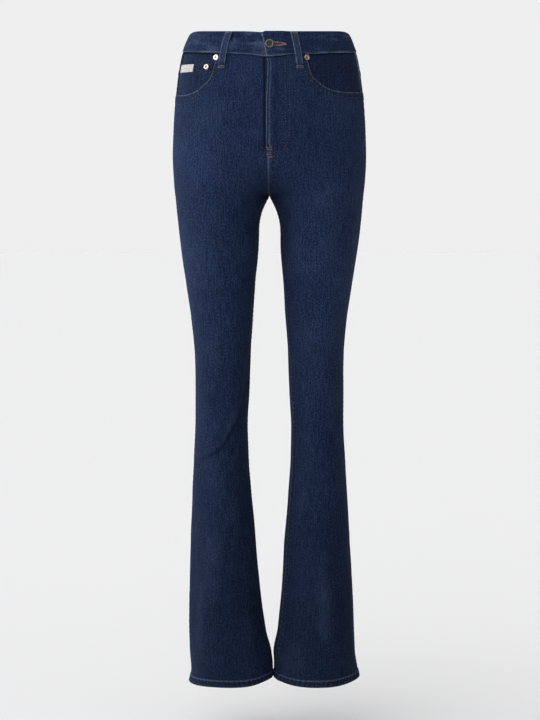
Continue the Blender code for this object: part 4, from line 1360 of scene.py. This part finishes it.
# %% Stitch the legs
# Sizes of the dark dashes of painted shade in the inseams' and the hems' troughs.
SEAM_SHADE_DASH_SIZE = (3.4, 2.8, 0.36)
HEM_SHADE_DASH_SIZE = (1.9, 4.8, 0.4)

seams, hems, seam_shade_dashes, hem_shade_dashes = [], [], [], []
for side in (-1, 1):
    drop = np.arange(CROTCH_DROP + 9, HEM_DROP - HEM_DEPTH - 1, 2.0)
    for inset in ROW_INSETS:
        seams.append(panel_row(side, 1, width_at(side, 1, drop) - inset, drop))
    seam_shade_dashes.append(panel_row(side, 1, width_at(side, 1, drop) - 4.2, drop, pitch=PUCKER_PITCH))
    for face in (1, -1):
        hem_row = HEM_DROP - HEM_DEPTH + 1.6
        across = np.linspace(1, width_at(side, face, hem_row) - 1, 160)
        hems.append(panel_row(side, face, across, hem_row))
        shade_dashes = panel_row(side, face, across, hem_row + 3.4, raise_by=0.0, pitch=0.8 * PUCKER_PITCH)
        hem_shade_dashes.append(shade_dashes)
sew_thread("thread_inseams", seams, "thread_navy")
# Dark dashes of painted shade in the inseams' pucker troughs.
sew_painted_shade("dips_inseams", seam_shade_dashes, size=SEAM_SHADE_DASH_SIZE)
sew_thread("thread_hems", hems, "thread_denim")
# Dark dashes of painted shade in the troughs of the hems' ropes.
sew_painted_shade("dips_hems", hem_shade_dashes, size=HEM_SHADE_DASH_SIZE)

seat = []
for inset in ROW_INSETS:
    drop = np.arange(108, CROTCH_DROP - 6, 2.0)
    seat.append(panel_row(1, -1, width_at(1, -1, drop) - inset, drop))
    for side in (-1, 1):
        share = -np.linspace(0.01, 0.995, 150)
        drop = YOKE_SEAM_AT(share) - inset
        seat.append(relief_row(yoke_relief, side, share, drop))
sew_thread("thread_seat", seat, "thread_rust")

# %% Stitch the fly and the front pockets
FLY_TOP_DROP = 46
FLY_FOOT_DROP = 203.5
FLY_FOOT_X = -2.5
MOUTH_ROWS = (2.2, 8.6)

fly, front_rows = [], []
for x in FLY_ROWS:
    curve = np.linspace(0, 1, 30)[1:]
    low = FLY_FOOT_DROP - (FLY_ROWS[1] - x) * 0.9
    turn_x = x + (FLY_FOOT_X - x) * (1 - np.cos(curve * math.pi / 2)) ** 0.9
    turn_drop = FLY_TURN_DROP + (low - FLY_TURN_DROP) * np.sin(curve * math.pi / 2) ** 1.15
    across = np.concatenate([np.full(60, x), turn_x])
    drop = np.concatenate([np.linspace(FLY_TOP_DROP, FLY_TURN_DROP, 60), turn_drop])
    fly.append(panel_row(1, 1, width_at(1, 1, drop) - across, drop))
drop = np.arange(44, FLY_END_DROP, 2.0)
fly.append(panel_row(1, 1, width_at(1, 1, drop) - straight_curve(FLY_EDGE, drop) - 2.5, drop))
drop = np.arange(206, CROTCH_DROP - 3, 1.5)
crotch = [panel_row(1, 1, width_at(1, 1, drop) - inset, drop) for inset in ROW_INSETS]
for side in (-1, 1):
    for out in MOUTH_ROWS:
        line = mouth_line(side, out)
        line = line[(line[:, 0] > 1.0) & (line[:, 1] > WAIST_SEAM_AT(0.6) + 2)]
        front_rows.append(panel_row(side, 1, line[:, 0], line[:, 1]))
sew_thread("thread_fly", fly[:2], "thread_rust")
sew_thread("thread_fly_edge", fly[2:], "thread_navy")
sew_thread("thread_crotch", crotch, "thread_navy")
sew_thread("thread_pocket_mouths", front_rows, "thread_rust")
# Dark dashes of painted shade between the stitches of the fly, crotch and pocket mouths.
sew_painted_shade("holes_front", fly[:2] + crotch + front_rows)
coin_rows = [
    relief_row(coin_relief, -1, share, COIN_TOP_DROP + down)
    for share in (np.linspace(0.44, COIN_EDGE_SHARE - 0.01, 40), np.linspace(0.01, 0.12, 20))
    for down in COIN_ROWS
]
sew_thread("thread_coin_pocket", coin_rows, "thread_rust")

# %% Stitch the band, the loops and the back pockets
band_rows, loop_rows, pocket_rows = [], [], []
for side in (-1, 1):
    last = BAND_UNDERLAP_SHARE if side > 0 else 0.99
    share = np.concatenate([np.linspace(-0.995, 0.9, 200), np.linspace(0.905, last - 0.01, 20)])
    foot = WAIST_SEAM_AT(np.minimum(share, 2 - share))
    for drop in (3.0 + band_top(side, share), foot - 3.0):
        band_rows.append(relief_row(band_relief, side, share, drop))
sew_thread("thread_waistband", band_rows, "thread_navy")
for row in LOOPS:
    for across in (-0.62, 0.62):
        drop = np.linspace(3, 56, 40)
        share, lift = loop_places(row, np.full(drop.shape, across), drop)
        loop_rows.append(stitch_row(row[1], share, drop, lift + 0.25))
sew_thread("thread_loops", loop_rows, "thread_navy")
for side in (-1, 1):
    for inset in (1.8, 7.6):
        edge = 1 - inset / POCKET_HALF
        foot = 1 - inset / POCKET_LENGTH
        path = [(-edge, 0.03), (-edge, foot), (0, foot), (edge, foot), (edge, 0.03)]
        steps = np.linspace(0, len(path) - 1, 161)
        across, part = (np.interp(steps, range(len(path)), column) for column in zip(*path))
        share, drop = pocket_places(side, part, across)
        pocket_rows.append(stitch_row(side, share, drop, pocket_lift(side, share, drop) + 0.1))
    across = np.linspace(-0.96, 0.96, 50)
    share, drop = pocket_places(side, np.full(50, POCKET_HEM / POCKET_LENGTH), across)
    pocket_rows.append(stitch_row(side, share, drop, pocket_lift(side, share, drop) + 0.05))
sew_thread("thread_back_pockets", pocket_rows, "thread_rust")

# %% Bar tacks and the buttonhole
FLY_TACKS = ((-5.6, 3.0, 187.0), (-4.0, 3.4, 190.0), (-3.0, 1.5, 197.5), (-2.2, 3.2, 201.5))
HOLE_DROP = 21.0
HOLE_ENDS = (5.0, 27.0)
HOLE_STITCH_SIZE = (3.3, 0.6, 0.8)

tan, rust = [], []
for row in LOOPS:
    for down in (4.0, 56.5):
        across = np.linspace(-0.92, 0.92, 12)
        share, lift = loop_places(row, across, np.full(12, down))
        tan.append(stitch_row(row[1], share, down, lift + 0.3, pitch=0.62, turned=True))
for side in (-1, 1):
    for corner in (-1, 1):
        across = np.linspace(corner * 0.97, corner * 0.86, 10)
        share, drop = pocket_places(side, np.full(10, 0.02), across)
        lift = pocket_lift(side, share, drop) + 0.25
        tan.append(stitch_row(side, share, drop, lift, pitch=TACK_PITCH, turned=True))
for side, drop in ((-1, 103.5), (1, 99.0)):
    drop = np.linspace(drop, drop + 8, 10)
    tan.append(panel_row(side, 1, 1.6, drop, raise_by=0.3, pitch=TACK_PITCH, turned=True))
for x0, x1, drop in FLY_TACKS:
    distance = width_at(1, 1, drop) - np.linspace(x0, x1, 14)
    rust.append(panel_row(1, 1, distance, drop, raise_by=0.45, pitch=TACK_PITCH, turned=True))
sew_thread("thread_bar_tacks", tan, "thread_tan", size=TACK_SIZE)
sew_thread("thread_fly_tack", rust, "thread_tan", size=TACK_SIZE)

turn = np.linspace(0, math.tau, 90)
reach = (HOLE_ENDS[1] - HOLE_ENDS[0]) / 2
x = HOLE_ENDS[0] + reach - reach * np.cos(turn)
half = 0.4 + 2.9 * np.clip((HOLE_ENDS[1] - x) / (2 * reach), 0, 1) ** 0.75
distance = width_at(1, 1, HOLE_DROP) - x
drop = HOLE_DROP + 0.3 * (x - x.min()) / reach - half * np.sin(turn)
share = share_at(1, 1, distance, drop)
hole = [relief_row(band_relief, 1, share, drop, raise_by=0.25, pitch=0.5, turned=True)]
sew_thread("thread_buttonhole", hole, "thread_rose", size=HOLE_STITCH_SIZE)

# %% [markdown]
# ## Denim
# Denim is a twill: dark blue threads run down the leg over white ones, in fine slanting lines. The
# blue threads are uneven, so there are long soft streaks down the leg with small white flecks
# between them, and the cloth rubs pale wherever an edge or a ridge stands out. It is also darker
# towards the hem, and painted shade darkens the seams' troughs, the creases and the cloth under
# raised edges, with a little painted light in a few places. The pattern reads the cloth's own flat
# coordinates, and the rubbing and the painted shade come from the seams' relief.

# %% Helpers for shader nodes
def start_nodes(name):
    """Return a material's node tree and its shader."""
    tree = finish_named(name).node_tree
    return tree, tree.nodes["Principled BSDF"]


def add_node(tree, kind, values=(), **settings):
    """Add a node, with settings and with values or links for its inputs."""
    node = tree.nodes.new(kind)
    for name, value in settings.items():
        setattr(node, name, value)
    for name, value in dict(values).items():
        if hasattr(value, "is_output"):
            tree.links.new(value, node.inputs[name])
        else:
            node.inputs[name].default_value = value
    return node


def add_math(tree, operation, a, b=0.0):
    """Add a math node and return its output."""
    return add_node(tree, "ShaderNodeMath", {0: a, 1: b}, operation=operation).outputs[0]


def add_noise(tree, coordinates, stretch, detail=2.0, scale=1.0):
    """Add a noise whose grain is stretched along the cloth, and return its factor."""
    scaled = add_node(tree, "ShaderNodeMapping", {"Vector": coordinates, "Scale": (*stretch, 1.0)})
    values = {"Vector": scaled.outputs[0], "Scale": scale, "Detail": detail}
    return add_node(tree, "ShaderNodeTexNoise", values, noise_dimensions="2D").outputs["Fac"]


def add_ramp(tree, factor, *stops):
    """Add a colour ramp with stops of (place, colour) and return its colour."""
    node = add_node(tree, "ShaderNodeValToRGB", {"Fac": factor})
    ramp = node.color_ramp
    while len(ramp.elements) < len(stops):
        ramp.elements.new(0.5)
    for element, (place, colour) in zip(ramp.elements, stops):
        element.position = place
        element.color = (*colour, 1.0)
    return node.outputs["Color"]


def add_spots(tree, scale, detail):
    """Add an even noise over the object's own space, and return its factor."""
    place = add_node(tree, "ShaderNodeTexCoord").outputs["Object"]
    values = {"Vector": place, "Scale": scale, "Detail": detail}
    return add_node(tree, "ShaderNodeTexNoise", values).outputs["Fac"]


def set_surface(tree, shader, values, colour=None, height=None, strength=0.5, distance=0.0003):
    """Set a shader's values, link its colour, and roughen it with a fine relief."""
    if colour is not None:
        tree.links.new(colour, shader.inputs["Base Color"])
    if height is not None:
        bumps = {"Height": height, "Strength": strength, "Distance": distance}
        relief = add_node(tree, "ShaderNodeBump", bumps)
        tree.links.new(relief.outputs[0], shader.inputs["Normal"])
    for name, value in values.items():
        shader.inputs[name].default_value = value


print("node helpers ready")

# %% Dye the denim
INDIGO_DEEP = (0.0030, 0.0062, 0.0190)
INDIGO = (0.0088, 0.0182, 0.0510)
INDIGO_PALE = (0.0270, 0.0450, 0.1000)
DYE_STOPS = (0.22, 0.50, 0.82)
REVERSE = ((0.05, 0.07, 0.12), (0.15, 0.19, 0.27), (0.34, 0.38, 0.45))
# The next two colours are the pale rubbed colour, also used for a little painted light, and painted
# shade.
RUBBED_AND_LIT = (0.120, 0.165, 0.255)
SHADOWED = (0.0038, 0.0034, 0.0076)
# Darker towards the hem: a multiplier on the colour by drop, in metres.
DARKER_TOWARDS_HEM = ((0.40, 1.0), (0.95, 0.55))
TWILL_SLANT = 62
DENIM_SURFACE = {
    "Roughness": 0.85,
    "Specular IOR Level": 0.05,
    "Sheen Weight": 0.015,
    "Sheen Roughness": 0.5,
    "Sheen Tint": (0.55, 0.65, 0.9, 1),
}
WEAVE = (
    ((560, 360), 2, 0.90),
    ((430, 46), 2, 0.50),
    ((1700, 320), 2, 0.60),
    ((260, 1500), 1, 0.22),
    ((15, 9), 3, 0.16),
)


def dye_denim(name, reverse=False):
    """Fill a denim finish. The reverse of the cloth shows its white threads."""
    tree, shader = start_nodes(name)
    cloth = add_node(tree, "ShaderNodeUVMap", uv_map="cloth").outputs[0]
    grain = 0.5 - 0.5 * sum(weight for size, detail, weight in WEAVE)
    for size, detail, weight in WEAVE:
        layer = add_math(tree, "MULTIPLY", add_noise(tree, cloth, size, detail=detail), weight)
        grain = add_math(tree, "ADD", layer, grain)
    colours = REVERSE if reverse else (INDIGO_DEEP, INDIGO, INDIGO_PALE)
    dyed = add_ramp(tree, grain, *zip(DYE_STOPS, colours))
    drop = add_node(tree, "ShaderNodeSeparateXYZ", {0: cloth}).outputs["Y"]
    # The colour is multiplied darker towards the hem.
    fade = add_ramp(tree, drop, *[(place, (part,) * 3) for place, part in DARKER_TOWARDS_HEM])

    wear_and_shade = add_node(tree, "ShaderNodeAttribute", attribute_name="wear_and_shade").outputs["Fac"]
    # Above zero the attribute mixes in the pale rubbed colour, with a little painted light; below zero,
    # painted shade.
    patches = add_math(tree, "ADD", 0.35, add_math(tree, "MULTIPLY", grain, 1.1))
    rubbed_and_lit = add_math(tree, "MULTIPLY", wear_and_shade, patches)
    shade_amount = add_math(tree, "MULTIPLY", wear_and_shade, -1.1)
    coats = ((fade, "MULTIPLY", 1.0), (RUBBED_AND_LIT, "MIX", rubbed_and_lit), (SHADOWED, "MIX", shade_amount))
    for coat, blend, amount in coats:
        mix = add_node(tree, "ShaderNodeMix", {0: amount}, data_type="RGBA", blend_type=blend)
        tree.links.new(dyed, mix.inputs[6])
        if hasattr(coat, "is_output"):
            tree.links.new(coat, mix.inputs[7])
        else:
            mix.inputs[7].default_value = (*coat, 1)
        dyed = mix.outputs[2]

    turned = {"Vector": cloth, "Rotation": (0, 0, math.radians(TWILL_SLANT)), "Scale": (1050, 1050, 1)}
    twill = add_node(tree, "ShaderNodeMapping", turned).outputs[0]
    lines = add_node(tree, "ShaderNodeTexWave", {"Vector": twill, "Scale": 0.16, "Distortion": 1.2})
    ribs = add_math(tree, "MULTIPLY", lines.outputs["Fac"], 0.35)
    height = add_math(tree, "ADD", ribs, add_math(tree, "MULTIPLY", grain, 0.6))
    set_surface(tree, shader, DENIM_SURFACE, dyed, height, distance=0.0004)


dye_denim("denim")
dye_denim("denim_inside", reverse=True)
print("denim finishes:", [m.name for m in bpy.data.materials if "denim" in m.name])

# %% Finish the metal, the label and the thread
METALS = {
    "aged_metal": ((0.135, 0.128, 0.115), 0.32, 0.35),
    "hollow_metal": ((0.050, 0.048, 0.046), 0.45, 0.40),
    "dull_metal": ((0.20, 0.19, 0.18), 0.45, 0.60),
    "bright_metal": ((0.95, 0.95, 0.95), 0.30, 0.85),
    "dark_metal": ((0.36, 0.31, 0.22), 0.30, 0.35),
    "worn_metal": ((0.72, 0.62, 0.58), 0.36, 0.55),
}
for name, (colour, roughness, dullest) in METALS.items():
    tree, shader = start_nodes(name)
    spots = add_spots(tree, 900.0, 4.0)
    spotted = add_ramp(tree, spots, (0.36, tuple(dullest * c for c in colour)), (0.56, colour))
    values = {"Metallic": 1.0, "Roughness": roughness}
    set_surface(tree, shader, values, spotted, spots, strength=0.2, distance=0.0001)

THREADS = {
    "thread_navy": (0.030, 0.042, 0.080),
    "thread_denim": (0.095, 0.118, 0.170),
    "thread_rust": (0.114, 0.080, 0.079),
    "thread_tan": (0.260, 0.180, 0.140),
    "thread_rose": (0.290, 0.165, 0.155),
    # This last finish is painted shade, for the dark dashes between stitches.
    "thread_shadow": (0.0022, 0.0024, 0.0050),
}
for name, colour in THREADS.items():
    tree, shader = start_nodes(name)
    dull = tuple(0.45 * c for c in colour)
    spun = add_ramp(tree, add_spots(tree, 420.0, 3.0), (0.35, dull), (0.62, colour))
    set_surface(tree, shader, {"Roughness": 0.7, "Specular IOR Level": 0.06}, spun)

tree, shader = start_nodes("label_weave")
cloth = add_node(tree, "ShaderNodeUVMap", uv_map="cloth").outputs[0]
rib = add_noise(tree, cloth, (260, 2600), detail=2)
soil = add_noise(tree, cloth, (160, 220), detail=3)
halves = [add_math(tree, "MULTIPLY", part, 0.5) for part in (rib, soil)]
weave = add_math(tree, "ADD", *halves)
woven = add_ramp(tree, weave, (0.34, (0.30, 0.27, 0.27)), (0.6, (0.50, 0.465, 0.47)))
set_surface(tree, shader, {"Roughness": 0.8}, woven, rib)
print("materials:", len(bpy.data.materials))

# %% [markdown]
# ## Floor, light and air
# The photograph has a plain pale ground and a soft light from the wearer's right. Three wide suns
# stand in for it: a window, a lower one beside it, and a ceiling that keeps the floor evenly lit at
# any distance. The sky is dimmer on the other side, so the far edge of each leg stays dark. The
# jeans hang in the air, so the floor lies a little way under the hems.

# %% Set the stage
FLOOR_DROP = 0.090
FLOOR_SIZE = 60.0
FLOOR_PAINT = (0.735, 0.73, 0.725)
BACKGROUND = 0.862
SKY = ((0.0, (0.12, 0.12, 0.13)), (0.35, (0.30, 0.31, 0.33)), (1.0, (0.85, 0.86, 0.88)))
LAMPS = (
    ("window", (-0.78, -0.62, 0.62), 2.0, 95),
    ("side_window", (-1.0, 0.12, 0.14), 1.6, 50),
    ("ceiling", (0.0, 0.0, 1.0), 0.92, 120),
)

ground = bmesh.new()
bmesh.ops.create_grid(ground, x_segments=1, y_segments=1, size=FLOOR_SIZE)
floor_mesh = bpy.data.meshes.new("floor")
ground.to_mesh(floor_mesh)
ground.free()
floor = bpy.data.objects.new("floor", floor_mesh)
floor.location = (0, 0, cad_box[0][2] - FLOOR_DROP)
bpy.context.collection.objects.link(floor)
floor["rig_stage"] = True
tree, shader = start_nodes("floor_paint")
set_surface(tree, shader, {"Base Color": (*FLOOR_PAINT, 1), "Roughness": 1.0, "Specular IOR Level": 0.0})
floor_mesh.materials.append(finish_named("floor_paint"))

for name, (x, y, z), power, angle in LAMPS:
    lamp_data = bpy.data.lights.new(name, "SUN")
    lamp_data.energy = power
    lamp_data.angle = math.radians(angle)
    lamp = bpy.data.objects.new(name, lamp_data)
    lamp.rotation_euler = (math.atan2(math.hypot(x, y), z), 0, math.atan2(x, -y))
    bpy.context.collection.objects.link(lamp)

world = bpy.data.worlds.new("studio")
bpy.context.scene.world = world
world.use_nodes = True
tree = world.node_tree
tree.nodes.clear()
way = add_node(tree, "ShaderNodeTexCoord").outputs["Generated"]
split = add_node(tree, "ShaderNodeSeparateXYZ", {0: way})
toward = add_math(tree, "MULTIPLY_ADD", split.outputs["X"], -0.5)
tree.nodes[-1].inputs[2].default_value = 0.5
glow = add_ramp(tree, toward, *SKY)
lighting = add_node(tree, "ShaderNodeBackground", {"Color": glow, "Strength": 1.0})
seen = add_node(tree, "ShaderNodeBackground", {"Color": (BACKGROUND,) * 3 + (1.0,), "Strength": 1.0})
ray = add_node(tree, "ShaderNodeLightPath").outputs["Is Camera Ray"]
both = add_node(tree, "ShaderNodeMixShader", {0: ray, 1: lighting.outputs[0], 2: seen.outputs[0]})
add_node(tree, "ShaderNodeOutputWorld", {"Surface": both.outputs[0]})
print("floor lies at", round(floor.location.z, 3), "m")

SHEETS = (
    ("cloth_front_right", 0.270, 1.060, 0.196, "cloth_waistband_right"),
    ("cloth_front_left", 0.275, 1.060, 0.184, "cloth_waistband_left"),
    ("cloth_back_right", 0.300, 1.010, 0.205, "cloth_yoke_right"),
    ("cloth_back_left", 0.300, 1.010, 0.221, "cloth_yoke_left"),
    ("cloth_yoke_right", 0.235, 0.072, 0.0120, "cloth_waistband_right"),
    ("cloth_yoke_left", 0.235, 0.072, 0.0120, "cloth_waistband_left"),
    ("cloth_waistband_right", 0.405, 0.042, 0.0152, "cloth_front_right"),
    ("cloth_waistband_left", 0.410, 0.042, 0.0154, "cloth_front_left"),
    ("cloth_facing_right", 0.130, 0.085, 0.0089, "cloth_front_right"),
    ("cloth_facing_left", 0.155, 0.082, 0.0104, "cloth_front_left"),
    ("cloth_coin_pocket", 0.115, 0.062, 0.0058, "cloth_facing_right"),
    ("cloth_fly_guard", 0.055, 0.142, None, "cloth_front_left"),
    ("cloth_back_pocket_right", 0.130, 0.145, 0.0172, "cloth_back_right"),
    ("cloth_back_pocket_left", 0.130, 0.145, 0.0172, "cloth_back_left"),
    ("woven_label", 0.050, 0.0125, None, "cloth_coin_pocket"),
    *[
        (f"cloth_{name}", 0.0118, 0.066, None, f"cloth_waistband_{'right' if side < 0 else 'left'}")
        for name, side, top, foot in LOOPS
    ],
)
for name, width, length, area, rests_on in SHEETS:
    piece = bpy.data.objects[name]
    cut = area or round(width * length, 5)
    print(name, "outer face", round(flat_area(piece), 4), "of a cut of", cut)

meshes = [thing for thing in bpy.data.objects if thing.type == "MESH"]
pieces = [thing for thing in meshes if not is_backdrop(thing) and "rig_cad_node" not in thing]
print(len(pieces), "pieces have a slot")

# %% Finish
triangles = 0
for piece in pieces:
    triangles += sum(len(face.vertices) - 2 for face in piece.data.polygons) * (1 + len(piece.modifiers))
print("about", triangles, "triangles")
